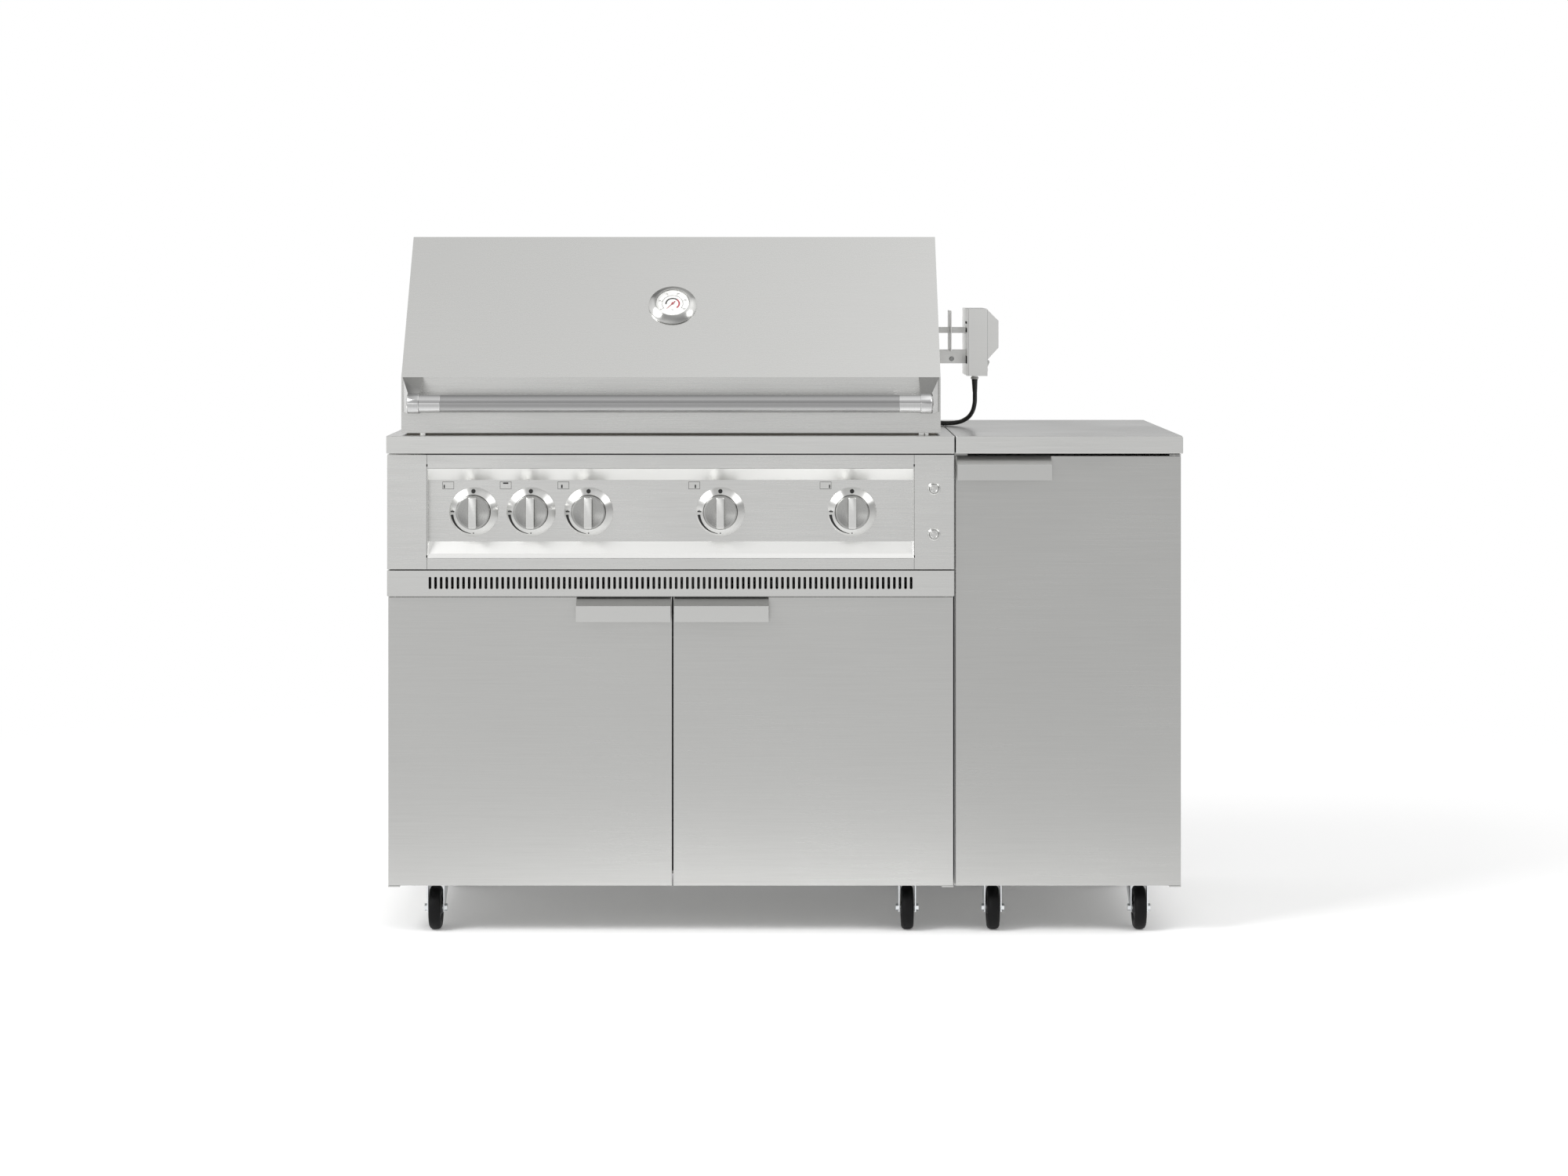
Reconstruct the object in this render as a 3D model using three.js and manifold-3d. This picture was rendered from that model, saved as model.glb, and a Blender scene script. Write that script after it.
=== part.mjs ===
import * as THREE from 'three';
import { mergeVertices } from 'three/addons/utils/BufferGeometryUtils.js';
import Module from 'manifold-3d';

// Outdoor kitchen island on casters: a grill cabinet with a built-in gas grill, and a narrower side cabinet.
// Millimetres, +Z up, the front faces -Y. The origin is on the floor under the middle of the island.
// A setback is a distance behind the front face of the counter.

const wasm = await Module();
wasm.setup();

// Island
const grillWidth = 1044;
const sideWidth = 417.6;
const unitSeam = 2.4;
const counterHeight = 920;
const counterDepth = 650;
const counterDrop = 32;
const counterSheet = 2;
const sheet = 1.5;
const gap = 0.3;
const overrun = 5;

// Cabinets; the walls and the base frame stand above the wheels
const wallLift = 7;
const baseLift = 25;
const baseBar = 6;
const baseBarWidth = 96;
const baseSideBarWidth = 40;
const rearOverhang = 20;
const doorSetback = 25;
const doorThickness = 20;
const doorClearance = 1;
const stileFlange = 24;
const spacerRadius = 9;
const spacerShares = [0.12, 0.88];
const shelfHeight = 480;
const shelfHem = 16;
const shelfPegRadius = 4;
const shelfPegLength = 14;
const shelfPegShares = [0.1, 0.9];
const hoseHoleRadius = 22;
const floorSetback = 6;

// Front frame, control panel and vent strip, from the counter downwards
const frameSetback = 15;
const frameGap = 3;
const frameHeight = 211;
const stileWidth = 73;
const upperRail = 25;
const lowerRail = 20;
const panelRecess = 18;
const upperSlope = 22.4;
const lowerSlope = 30;
const ventGap = 2.3;
const ventHeight = 46.5;
const slotCount = 87;
const slotMargin = 79.1;
const slotWidth = 5;
const slotHeight = 22.5;
const slotLift = 0.55;
const slotCornerShare = 0.29;

// Doors
const doorSheet = 1.2;
const doorLift = 3;
const doorTopGap = 3.2;
const sideDoorGap = 6;
const doorEdgeGap = 1.2;
const doorMiddleGap = 3;
const doorSplitOffset = 3.6;
const hingeInset = 12;
const hingePinRadius = 3;
const hingePinGrip = 12;
const hingeTabSheet = 2;
const hingeTabGap = 0.9;
const hingeTabMargin = 9;
const pullWidth = 174;
const pullEdge = 1.6;
const pullReach = 27;
const pullSlope = 14;
const pullLip = 29;

// Knobs, bezels and buttons; three knobs are spaced from the panel's left end and one from its right end
const knobLeftMargin = 85;
const knobPitches = [106, 106.4];
const knobRightMargin = 114.6;
const knobBetweenShare = 0.50020576;
const knobDrop = 0.9;
const bezelRadius = 45;
const bezelEdge = 2;
const bezelRise = 9;
const bezelInnerRadius = 33.5;
const bezelFloor = 3;
const bezelBore = 5;
const knobRadius = 31;
const knobDisc = 17;
const knobReach = 35;
const gripWidth = 14.5;
const gripLength = 57;
const stemRadius = 4;
const stemGrip = 11;
const roundSides = 24;
const smallSides = 12;
const bendSteps = 3;
const buttonInset = 37;
const buttonOffsets = [43, -41];
const buttonRingRadius = 11.5;
const buttonRadius = 8.5;
const buttonRingRise = 2.5;
const buttonRise = 5.5;
const buttonLength = 20;

// Grill head; the insets and drops are from the lid's sides, its pins and the counter
const lidSideInset = 23.5;
const lidSetback = 40;
const lidLift = 3.7;
const bandHeight = 103.3;
const slopeRise = 261;
const slopeRun = 214;
const lidFlat = 136;
const lidDepth = 460;
const lidRearDrop = 98;
const pivotInset = 15;
const pivotRise = 65;
const pivotPinRadius = 5;
const pivotPinReach = 3;
const earInset = 8.5;
const fireboxSideInset = 20;
const fireboxFrontGap = 15;
const fireboxRearInset = 15;
const fireboxDrop = 215;
const flangeInset = 8;
const upstandInset = 7;
const upstandDrop = 7;
const earFrontRise = 24;
const drainWidth = 300;
const drainDepth = 90;
const earSheet = 2;
const earLugRadius = 12;
const earFrontReach = 165;
const earShoulderRise = 27;
const earTopHalf = 42;
const footRadius = 5;
const footInsets = [36.5, 35.9, 15.6];
const ledge = 14;
const grateDrop = 16;
const grateThickness = 8;
const grateRim = 16;
const grateSlots = 40;
const grateSlotShare = 0.56;
const rackGap = 26;
const rackDepth = 72;
const rackBars = 5;
const rackRod = 6;
const rackPinReach = 5;

// Burners
const manifoldSetback = 80;
const manifoldRadius = 10;
const valveHalf = 11;
const valveLength = 34;
const venturiRadius = 9;
const burnerRadius = 19;
const burnerWall = 2;
const burnerInset = 17;
const burnerRearInset = 15;
const rearBurnerHalfWidth = 230;
const rearBurnerLift = 25;
const rearBurnerHeight = 95;
const rearBurnerInset = 4;
const rearBurnerDepth = 30;
const rearBurnerRim = 12;
const rearBurnerTileDepth = 14;

// Handle and thermometer of the lid
const handleStandoff = 70;
const handleRise = 57.3;
const handleRadius = 16.2;
const collarRadius = 18;
const collarInset = 20;
const collarLength = 20.5;
const sleeveLength = 38.5;
const bracketInset = 2.5;
const gaugeLift = 130.7;
const gaugeRadius = 45;
const gaugeEdge = 3;
const gaugeRise = 12;
const gaugeWindow = 31.5;
const gaugeFloor = 4;
const gaugeDialRise = 2;
const probeRadius = 4;
const probeLength = 40;

// Rotisserie, about the spit; the support and the motor stand outside the lid
const spitSetback = 315;
const spitRise = 189;
const spitSize = 11.4;
const spitSlotRadius = 8.5;
const spitTipLength = 22;
const spitTipRadius = 8;
const notchFrontReach = 53;
const notchRearReach = 23;
const notchRise = 15;
const bracketSheet = 2;
const armHalf = 17;
const armDrop = 38;
const armHeight = 26;
const supportOutset = 30.5;
const supportFrontReach = 50;
const supportRearReach = 56;
const supportRise = 37.5;
const motorOutset = 63.5;
const motorFrontReach = 69;
const motorRearReach = 71;
const motorDrop = 86.6;
const motorRise = 41.9;
const motorWidth = 57.5;
const motorWaist = 36.5;
const motorTopChamfer = 22.5;
const bellyRise = 53.8;
const bellyStartRise = 30.9;
const socketDepth = 24;
const switchLift = 3.6;
const switchHeight = 24;
const switchHalfDepth = 9;
const switchRise = 4.2;
const switchSink = 6;
const switchTilt = 7;
const switchPlay = 1.2;
const glandInset = 36;
const glandRadius = 6.5;
const glandLength = 5;

// Power cord
const cordRadius = 4.25;
const cordSides = 10;
const cordSteps = 24;
const coilSides = 6;
const coilLoopSteps = 24;
const coilRadius = 48;
const coilPitch = 9.4;
const coilLayerRise = 9.2;
const coilTurns = 3.25;
const coilClimbTurns = 0.5;
const coilRearInset = 73;
const coilTail = 46;
const plugLength = 34;
const plugPinReach = 17;
const plugPinSpread = 6.4;
const plugPinHalf = 3.2;
const plugPinSheet = 1.6;

// Drip tray
const trayHalfWidth = 190;
const trayReach = 135;
const trayDrop = 11;
const trayDepth = 38;
const trayFaceMargin = 8;
const trayGripReach = 14;
const railFoot = 12;

// Casters
const wheelRadius = 40;
const wheelWidth = 24;
const wheelSides = 20;
const wheelShoulder = 3;
const axleRadius = 5;
const axleSetback = 80;
const axleHeadReach = 5;
const axleHeadRadius = 7;
const casterTrail = 32;
const casterPlate = 76;
const casterPlateThickness = 3;
const swivelRadius = 27;
const swivelSides = 16;
const swivelHeight = 8;
const forkHalfGap = 14;
const forkSheet = 2.2;
const forkFront = 8;
const forkRear = 68;
const forkCrownDrop = 6;
const forkWaistRise = 31;
const forkToeHalf = 8;
const grillCasterInset = 84;
const sideCasterInset = 72.8;
const casterRearInset = 86;

// Places across the island
const islandLeft = -(grillWidth + unitSeam + sideWidth) / 2;
const grillRight = islandLeft + grillWidth;
const grillCentre = islandLeft + grillWidth / 2;
const sideLeft = grillRight + unitSeam;
const sideRight = sideLeft + sideWidth;
const sideCentre = sideLeft + sideWidth / 2;
const panelLeft = islandLeft + stileWidth;
const panelRight = grillRight - stileWidth;
const panelHalfWidth = grillWidth / 2 - stileWidth;
const firstKnob = knobLeftMargin - panelHalfWidth;
const thirdKnob = firstKnob + knobPitches[0] + knobPitches[1];
const lastKnob = panelHalfWidth - knobRightMargin;
const fourthKnob = thirdKnob + (lastKnob - thirdKnob) * knobBetweenShare;
const knobOffsets = [firstKnob, firstKnob + knobPitches[0], thirdKnob, fourthKnob, lastKnob];
const slotPitch = (grillWidth - slotMargin * 2) / (slotCount - 1);
const buttonOffset = grillWidth / 2 - buttonInset;
const lidHalfWidth = grillWidth / 2 - lidSideInset;
const earOuter = lidHalfWidth - earInset;
const fireboxHalfWidth = earOuter - fireboxSideInset;
const collarOuter = lidHalfWidth - collarInset;
const collarInner = collarOuter - collarLength;
const knurlHalfLength = collarInner - sleeveLength;
const bracketRootOuter = lidHalfWidth - bracketInset;
const supportOffset = lidHalfWidth + supportOutset;
const motorOffset = lidHalfWidth + motorOutset;
const motorX = grillCentre + motorOffset;
const glandX = motorX + motorWaist / 2;
const grillCasterHalfPitch = grillWidth / 2 - grillCasterInset;
const sideCasterHalfPitch = sideWidth / 2 - sideCasterInset;

// Setbacks behind the front face of the counter
const lidRearSetback = lidSetback + lidDepth;
const pivotSetback = lidRearSetback - pivotInset;
const fireboxFront = manifoldSetback + fireboxFrontGap;
const fireboxRear = pivotSetback - fireboxRearInset;
const upstandSetback = pivotSetback - upstandInset;
const earFront = spitSetback - earFrontReach;
const burnerFront = fireboxFront + burnerInset;
const burnerRear = fireboxRear - burnerRearInset;
const valveFront = manifoldSetback - valveLength;
const rearBurnerRear = fireboxRear - rearBurnerInset;
const rearBurnerFront = rearBurnerRear - rearBurnerDepth;
const rackRear = fireboxRear;
const rackFront = rackRear - rackDepth;
const trayFront = fireboxRear - trayReach;
const notchFront = spitSetback - notchFrontReach;
const notchRear = spitSetback + notchRearReach;
const armFront = spitSetback - armHalf;
const armRear = spitSetback + armHalf;
const supportFront = spitSetback - supportFrontReach;
const supportRear = spitSetback + supportRearReach;
const motorFront = spitSetback - motorFrontReach;
const motorRear = spitSetback + motorRearReach;
const glandSetback = motorRear - glandInset;

// Places from front to rear
const frontY = -(counterDepth + lidSetback - handleStandoff - collarRadius) / 2;
const rearY = frontY + counterDepth;
const doorFrontY = frontY + doorSetback;
const doorRearY = doorFrontY + doorThickness;
const hingeY = doorFrontY + doorThickness / 2;
const carcassFrontY = doorRearY + doorClearance;
const carcassRearY = rearY - rearOverhang;
const frameY = frontY + frameSetback;
const frameRearY = carcassFrontY - gap;
const panelY = frameY + panelRecess;
const lidFrontY = frontY + lidSetback;
const lidRearY = frontY + lidRearSetback;
const pivotY = frontY + pivotSetback;
const spitY = frontY + spitSetback;
const handleY = lidFrontY - handleStandoff;
const glandY = frontY + glandSetback;

// Heights
const wallBottom = wheelRadius * 2 + wallLift;
const baseBottom = wheelRadius * 2 + baseLift;
const carcassTop = counterHeight - counterDrop - gap;
const floorBottom = baseBottom + baseBar + gap;
const floorTop = floorBottom + sheet;
const frameTop = counterHeight - counterDrop - frameGap;
const frameBottom = frameTop - frameHeight;
const frameMiddle = (frameTop + frameBottom) / 2;
const knobHeight = frameMiddle - knobDrop;
const buttonHeights = buttonOffsets.map((offset) => frameMiddle + offset);
const panelTop = frameTop - upperRail;
const panelBottom = frameBottom + lowerRail;
const ventTop = frameBottom - ventGap;
const ventBottom = ventTop - ventHeight;
const slotCentreHeight = (ventTop + ventBottom) / 2 + slotLift;
const doorBottom = wallBottom + doorLift;
const doorTop = ventBottom - doorTopGap;
const sideDoorTop = counterHeight - counterDrop - sideDoorGap;
const fireboxBottom = counterHeight - fireboxDrop;
const trayTop = fireboxBottom - trayDrop;
const trayBottom = trayTop - trayDepth;
const grateHeight = counterHeight - grateDrop;
const flangeTop = counterHeight + gap + sheet;
const lidBottom = counterHeight + lidLift;
const lidBend = lidBottom + bandHeight;
const lidTop = lidBend + slopeRise;
const lidRearTop = lidTop - lidRearDrop;
const slopeAngle = Math.atan2(slopeRun, slopeRise);
const pivotHeight = counterHeight + pivotRise;
const upstandTop = pivotHeight - upstandDrop;
const earShoulder = pivotHeight + earShoulderRise;
const rearBurnerBottom = counterHeight + rearBurnerLift;
const rearBurnerTop = rearBurnerBottom + rearBurnerHeight;
const rackHeight = rearBurnerTop + rackGap;
const handleHeight = lidBottom + handleRise;
const gaugeHeight = lidBend + gaugeLift;
const gaugeY = lidFrontY + slopeRun * gaugeLift / slopeRise;
const spitHeight = counterHeight + spitRise;
const notchTop = spitHeight + notchRise;
const armTop = spitHeight - armDrop;
const armBottom = armTop - armHeight;
const supportTop = spitHeight + supportRise;
const motorBottom = spitHeight - motorDrop;
const motorTop = spitHeight + motorRise;
const motorBellyBottom = motorBottom + bellyRise;
const motorBellyStart = motorBottom + bellyStartRise;
const switchBottom = motorBottom + switchLift;
const switchTop = switchBottom + switchHeight;
const forkWaistHeight = wheelRadius + forkWaistRise;
const cordTopZ = motorBottom - glandLength - gap;
const cordFloorZ = counterHeight + gap + cordRadius;

// The free cord as it hangs from the motor and runs back beside the lid, in real sizes
const cordRoute = [
  [glandX, glandY, cordTopZ],
  [glandX, glandY, 1008],
  [370.8, 51, 985],
  [370, 57, 962],
  [364, 69, 944],
  [352, 85, 932],
  [337, 99, 926.2],
  [322, 107.5, cordFloorZ],
  [307, 117, cordFloorZ],
  [298, 133, cordFloorZ],
  [296, 158, cordFloorZ],
  [296, 200, cordFloorZ],
  [296, 240, cordFloorZ],
  [296, 267.2, cordFloorZ],
];

const sides = [-1, 1];

// Joining and cutting closed solids
function toSolid(geometry) {
  const plain = geometry.clone();
  plain.deleteAttribute('normal');
  plain.deleteAttribute('uv');
  const merged = mergeVertices(plain);
  return new wasm.Manifold(new wasm.Mesh({
    numProp: 3,
    vertProperties: new Float32Array(merged.attributes.position.array),
    triVerts: new Uint32Array(merged.index.array),
  }));
}

function toGeometry(solid) {
  const mesh = solid.getMesh();
  const geometry = new THREE.BufferGeometry();
  geometry.setAttribute('position', new THREE.BufferAttribute(mesh.vertProperties, 3));
  geometry.setIndex(new THREE.BufferAttribute(mesh.triVerts, 1));
  geometry.computeVertexNormals();
  return geometry;
}

function join(...geometries) {
  return toGeometry(geometries.map(toSolid).reduce((whole, solid) => whole.add(solid)));
}

function cut(geometry, ...tools) {
  return toGeometry(tools.map(toSolid).reduce((whole, tool) => whole.subtract(tool), toSolid(geometry)));
}

function common(first, second) {
  return toGeometry(toSolid(first).intersect(toSolid(second)));
}

// Shapes between named planes
function block(left, right, front, rear, bottom, top) {
  const geometry = new THREE.BoxGeometry(right - left, rear - front, top - bottom);
  return geometry.translate((left + right) / 2, (front + rear) / 2, (bottom + top) / 2);
}

function extrude(outline, length, ...axes) {
  const shape = new THREE.Shape(outline.map(([u, v]) => new THREE.Vector2(u, v)));
  const geometry = new THREE.ExtrudeGeometry(shape, { depth: length, bevelEnabled: false });
  return geometry.applyMatrix4(new THREE.Matrix4().makeBasis(...axes));
}

const alongX = new THREE.Vector3(1, 0, 0);
const alongY = new THREE.Vector3(0, 1, 0);
const alongZ = new THREE.Vector3(0, 0, 1);

// An outline in Y and Z, extruded from one X to another
function prismX(outline, left, right) {
  return extrude(outline, right - left, alongY, alongZ, alongX).translate(left, 0, 0);
}

// An outline in X and Z, extruded from one Y to another
function prismY(outline, front, rear) {
  const backwards = alongY.clone().negate();
  return extrude(outline, rear - front, alongX, alongZ, backwards).translate(0, rear, 0);
}

// An outline in X and Y, extruded from one Z to another
function prismZ(outline, bottom, top) {
  return extrude(outline, top - bottom, alongX, alongY, alongZ).translate(0, 0, bottom);
}

function rodX(radius, left, right, y, z, sides = roundSides) {
  const geometry = new THREE.CylinderGeometry(radius, radius, right - left, sides);
  return geometry.rotateZ(Math.PI / 2).translate((left + right) / 2, y, z);
}

function rodY(radius, front, rear, x, z, sides = roundSides) {
  const geometry = new THREE.CylinderGeometry(radius, radius, rear - front, sides);
  return geometry.translate(x, (front + rear) / 2, z);
}

function rodZ(radius, bottom, top, x, y, sides = roundSides) {
  const geometry = new THREE.CylinderGeometry(radius, radius, top - bottom, sides);
  return geometry.rotateX(Math.PI / 2).translate(x, y, (bottom + top) / 2);
}

// A closed profile of radius and height, turned about the Y axis of the geometry
function turned(profile, sides = roundSides) {
  const points = [...profile, profile[0]].map(([radius, height]) => new THREE.Vector2(radius, height));
  return new THREE.LatheGeometry(points, sides);
}

// The outline moved inwards by a wall, with mitred corners; it runs counter-clockwise
function inset(outline, wall) {
  const inward = ([fromU, fromV], [toU, toV]) => {
    const length = Math.hypot(toU - fromU, toV - fromV);
    return [(fromV - toV) / length, (toU - fromU) / length];
  };
  return outline.map((point, index) => {
    const before = inward(outline.at(index - 1), point);
    const after = inward(point, outline[(index + 1) % outline.length]);
    const reach = wall / (1 + before[0] * after[0] + before[1] * after[1]);
    return [point[0] + (before[0] + after[0]) * reach, point[1] + (before[1] + after[1]) * reach];
  });
}

// A cabinet's side walls, rear wall and floor, open at the front and the top
function carcass(left, right) {
  const shell = block(left, right, carcassFrontY, carcassRearY, wallBottom, carcassTop);
  const room = block(left + sheet, right - sheet, carcassFrontY - overrun, carcassRearY - sheet,
    floorTop, carcassTop + overrun);
  const under = block(left + sheet, right - sheet, carcassFrontY - overrun, carcassRearY - sheet,
    wallBottom - overrun, floorBottom);
  const doorSwing = block(left + sheet, right - sheet, carcassFrontY - overrun, carcassFrontY + floorSetback,
    floorBottom - overrun, floorTop + overrun);
  return cut(shell, room, under, doorSwing);
}

// A tab on a side wall that carries one hinge pin of a door, above or below the door
function hingeTab(wallX, pinX, tabBottom, pinBottom, pinTop) {
  const tabEnd = pinX + Math.sign(pinX - wallX) * hingeTabMargin;
  const tab = block(Math.min(wallX, tabEnd), Math.max(wallX, tabEnd), hingeY - hingeTabMargin,
    carcassFrontY + hingeTabMargin, tabBottom, tabBottom + hingeTabSheet);
  return join(tab, rodZ(hingePinRadius, pinBottom, pinTop, pinX, hingeY, smallSides));
}

function hingeTabs(wallX, pinX, top) {
  const lower = doorBottom - hingeTabGap - hingeTabSheet;
  const upper = top + hingeTabGap;
  return join(
    hingeTab(wallX, pinX, lower, lower, doorBottom + hingePinGrip),
    hingeTab(wallX, pinX, upper, top - hingePinGrip, upper + hingeTabSheet),
  );
}

// Doors, the pull bent out of the top edge of the front sheet
const leftDoorLeft = islandLeft + doorEdgeGap;
const leftDoorRight = grillCentre + doorSplitOffset - doorMiddleGap / 2;
const rightDoorLeft = leftDoorRight + doorMiddleGap;
const rightDoorRight = grillRight - doorEdgeGap;
const sideDoorLeft = sideLeft + doorEdgeGap;
const sideDoorRight = sideRight - doorEdgeGap;
const leftHingeX = leftDoorLeft + hingeInset;
const rightHingeX = rightDoorRight - hingeInset;
const sideHingeX = sideDoorRight - hingeInset;

function doorPull(left, right, top) {
  const lipY = doorFrontY - pullReach;
  const fall = pullSlope / pullReach;
  const slopeDrop = sheet * Math.hypot(1, fall);
  const root = doorFrontY + doorSheet / 2;
  const bendDrop = (pullReach - sheet) * fall + slopeDrop;
  return prismX([
    [root, top], [doorFrontY, top], [lipY, top - pullSlope], [lipY, top - pullSlope - pullLip],
    [lipY + sheet, top - pullSlope - pullLip], [lipY + sheet, top - bendDrop], [root, top - slopeDrop],
  ], left, right);
}

function door(left, right, top, hingeX) {
  const body = block(left, right, doorFrontY, doorRearY, doorBottom, top);
  const hollow = block(left + doorSheet, right - doorSheet, doorFrontY + doorSheet, doorRearY - doorSheet,
    doorBottom + doorSheet, top - doorSheet);
  const pinHole = rodZ(hingePinRadius + gap, doorBottom - overrun, top + overrun, hingeX, hingeY, smallSides);
  const pullLeft = hingeX < (left + right) / 2 ? right - pullEdge - pullWidth : left + pullEdge;
  return join(cut(body, hollow, pinHole), doorPull(pullLeft, pullLeft + pullWidth, top));
}

function grillCabinet() {
  const wall = sheet / 2;
  const trayHole = block(grillCentre - trayHalfWidth - gap, grillCentre + trayHalfWidth + gap,
    carcassRearY - overrun, carcassRearY + overrun, trayBottom - sheet, trayTop + gap);
  const hoseHole = rodY(hoseHoleRadius, carcassRearY - overrun, carcassRearY + overrun,
    islandLeft + stileWidth, (floorTop + trayBottom) / 2, smallSides);
  return join(
    cut(carcass(islandLeft, grillRight), trayHole, hoseHole),
    hingeTabs(islandLeft + wall, leftHingeX, doorTop),
    hingeTabs(grillRight - wall, rightHingeX, doorTop),
  );
}

// The side cabinet has a flange behind its door's free edge, bolt spacers and shelf pegs
function sideCabinet() {
  const wall = sheet / 2;
  const flange = block(sideLeft + wall, sideLeft + stileFlange, carcassFrontY, carcassFrontY + sheet,
    floorTop - wall, carcassTop);
  const spacers = spacerShares.flatMap((share) => spacerShares.map((heightShare) => rodX(spacerRadius,
    grillRight + gap, sideLeft + wall, carcassFrontY + (carcassRearY - carcassFrontY) * share,
    floorTop + (carcassTop - floorTop) * heightShare, smallSides)));
  const pegs = shelfPegShares.flatMap((share) => {
    const y = carcassFrontY + (carcassRearY - carcassFrontY) * share;
    const z = shelfHeight - gap - shelfPegRadius;
    return [
      rodX(shelfPegRadius, sideLeft + wall, sideLeft + shelfPegLength, y, z, smallSides),
      rodX(shelfPegRadius, sideRight - shelfPegLength, sideRight - wall, y, z, smallSides),
    ];
  });
  return join(carcass(sideLeft, sideRight), flange, ...spacers, ...pegs,
    hingeTabs(sideRight - wall, sideHingeX, sideDoorTop));
}

function sideShelf() {
  const left = sideLeft + sheet + gap;
  const right = sideRight - sheet - gap;
  const front = carcassFrontY + stileFlange;
  const rear = carcassRearY - sheet - gap;
  const plate = block(left, right, front, rear, shelfHeight, shelfHeight + sheet);
  const hem = block(left, right, front, front + sheet, shelfHeight, shelfHeight + shelfHem);
  return join(plate, hem);
}

// The flat-bar frame under a cabinet's floor, with one plate for each caster
function baseFrame(left, right, centre, halfPitch) {
  const frameLeft = left + sheet + gap;
  const frameRight = right - sheet - gap;
  const front = carcassFrontY + doorThickness;
  const rear = carcassRearY - sheet - gap;
  const ring = block(frameLeft, frameRight, front, rear, baseBottom, baseBottom + baseBar);
  const middle = block(frameLeft + baseSideBarWidth, frameRight - baseSideBarWidth, front + baseBarWidth,
    rear - baseBarWidth, baseBottom - overrun, baseBottom + baseBar + overrun);
  const half = casterPlate / 2;
  const plates = casterPlaces(centre, halfPitch).map(([x, y]) => block(x - half, x + half, y - half, y + half,
    baseBottom - casterPlateThickness, baseBottom + baseBar / 2));
  return join(cut(ring, middle), ...plates);
}

// Swivel centres of a cabinet's four casters
function casterPlaces(centre, halfPitch) {
  const front = frontY + axleSetback + casterTrail;
  const rear = rearY - casterRearInset;
  return [[centre - halfPitch, front], [centre + halfPitch, front],
    [centre - halfPitch, rear], [centre + halfPitch, rear]];
}

// The counters: a top sheet with folded edges
function counter(left, right) {
  const body = block(left, right, frontY, rearY, counterHeight - counterDrop, counterHeight);
  const under = block(left + counterSheet, right - counterSheet, frontY + counterSheet, rearY - counterSheet,
    counterHeight - counterDrop - overrun, counterHeight - counterSheet);
  return cut(body, under);
}

function grillCounter() {
  const opening = block(grillCentre - fireboxHalfWidth - gap, grillCentre + fireboxHalfWidth + gap,
    frontY + fireboxFront - gap, frontY + fireboxRear + gap, counterHeight - counterDrop, counterHeight + overrun);
  return cut(counter(islandLeft, grillRight), opening);
}

// The frame round the control panel, with a raised ring for each push button
function frontFrame() {
  const body = block(islandLeft, grillRight, frameY, frameRearY, frameBottom, frameTop);
  const hollow = block(islandLeft + sheet, grillRight - sheet, frameY + sheet, frameRearY + overrun,
    frameBottom + sheet, frameTop - sheet);
  const window = block(panelLeft, panelRight, frameY - overrun, frameRearY, panelBottom, panelTop);
  const x = grillCentre + buttonOffset;
  const rings = buttonHeights.map((z) => rodY(buttonRingRadius, frameY - buttonRingRise, frameY + sheet, x, z));
  const bores = buttonHeights.map((z) => rodY(buttonRadius + gap, frameY - buttonRingRise - overrun,
    frameY + sheet + overrun, x, z));
  return cut(join(cut(body, hollow, window), ...rings), ...bores);
}

// The recessed panel: a slope, a flat and a slope, closed at both ends
function controlPanel() {
  const front = frameY + gap;
  const recess = [
    [front, panelTop - gap], [panelY, panelTop - upperSlope],
    [panelY, panelBottom + lowerSlope], [front, panelBottom + gap],
  ];
  const behind = [
    [front + sheet, panelBottom + gap], [panelY + sheet, panelBottom + lowerSlope],
    [panelY + sheet, panelTop - upperSlope], [front + sheet, panelTop - gap],
  ];
  const left = panelLeft + gap;
  const right = panelRight - gap;
  const bores = knobOffsets.map((offset) => rodY(stemRadius + gap * 2, panelY - overrun, panelY + overrun,
    grillCentre + offset, knobHeight, smallSides));
  return cut(join(
    prismX([...recess, ...behind], left, right),
    prismX([...recess].reverse(), left, left + sheet),
    prismX([...recess].reverse(), right - sheet, right),
  ), ...bores);
}

// The vent strip: slots with rounded ends in the front of an open-backed channel
function ventSlot(x) {
  const half = slotWidth / 2;
  const tip = slotHeight / 2;
  const corner = slotWidth * slotCornerShare;
  return new THREE.Path([
    [half, tip - corner], [half - corner, tip], [corner - half, tip], [-half, tip - corner],
    [-half, corner - tip], [corner - half, -tip], [half - corner, -tip], [half, corner - tip],
  ].map(([u, v]) => new THREE.Vector2(x + u, slotCentreHeight + v)));
}

function ventStrip() {
  const shape = new THREE.Shape();
  shape.moveTo(islandLeft, ventBottom);
  shape.lineTo(grillRight, ventBottom);
  shape.lineTo(grillRight, ventTop);
  shape.lineTo(islandLeft, ventTop);
  const first = grillCentre - slotPitch * (slotCount - 1) / 2;
  shape.holes = Array.from({ length: slotCount }, (_, index) => ventSlot(first + slotPitch * index));
  const face = new THREE.ExtrudeGeometry(shape, { depth: sheet, bevelEnabled: false });
  face.applyMatrix4(new THREE.Matrix4().makeBasis(alongX, alongZ, alongY.clone().negate()));
  face.translate(0, frameY + sheet, 0);
  const edge = cut(
    block(islandLeft, grillRight, frameY, frameRearY, ventBottom, ventTop),
    block(islandLeft + sheet, grillRight - sheet, frameY - overrun, frameRearY + overrun,
      ventBottom + sheet, ventTop - sheet),
  );
  return join(face, edge);
}

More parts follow.
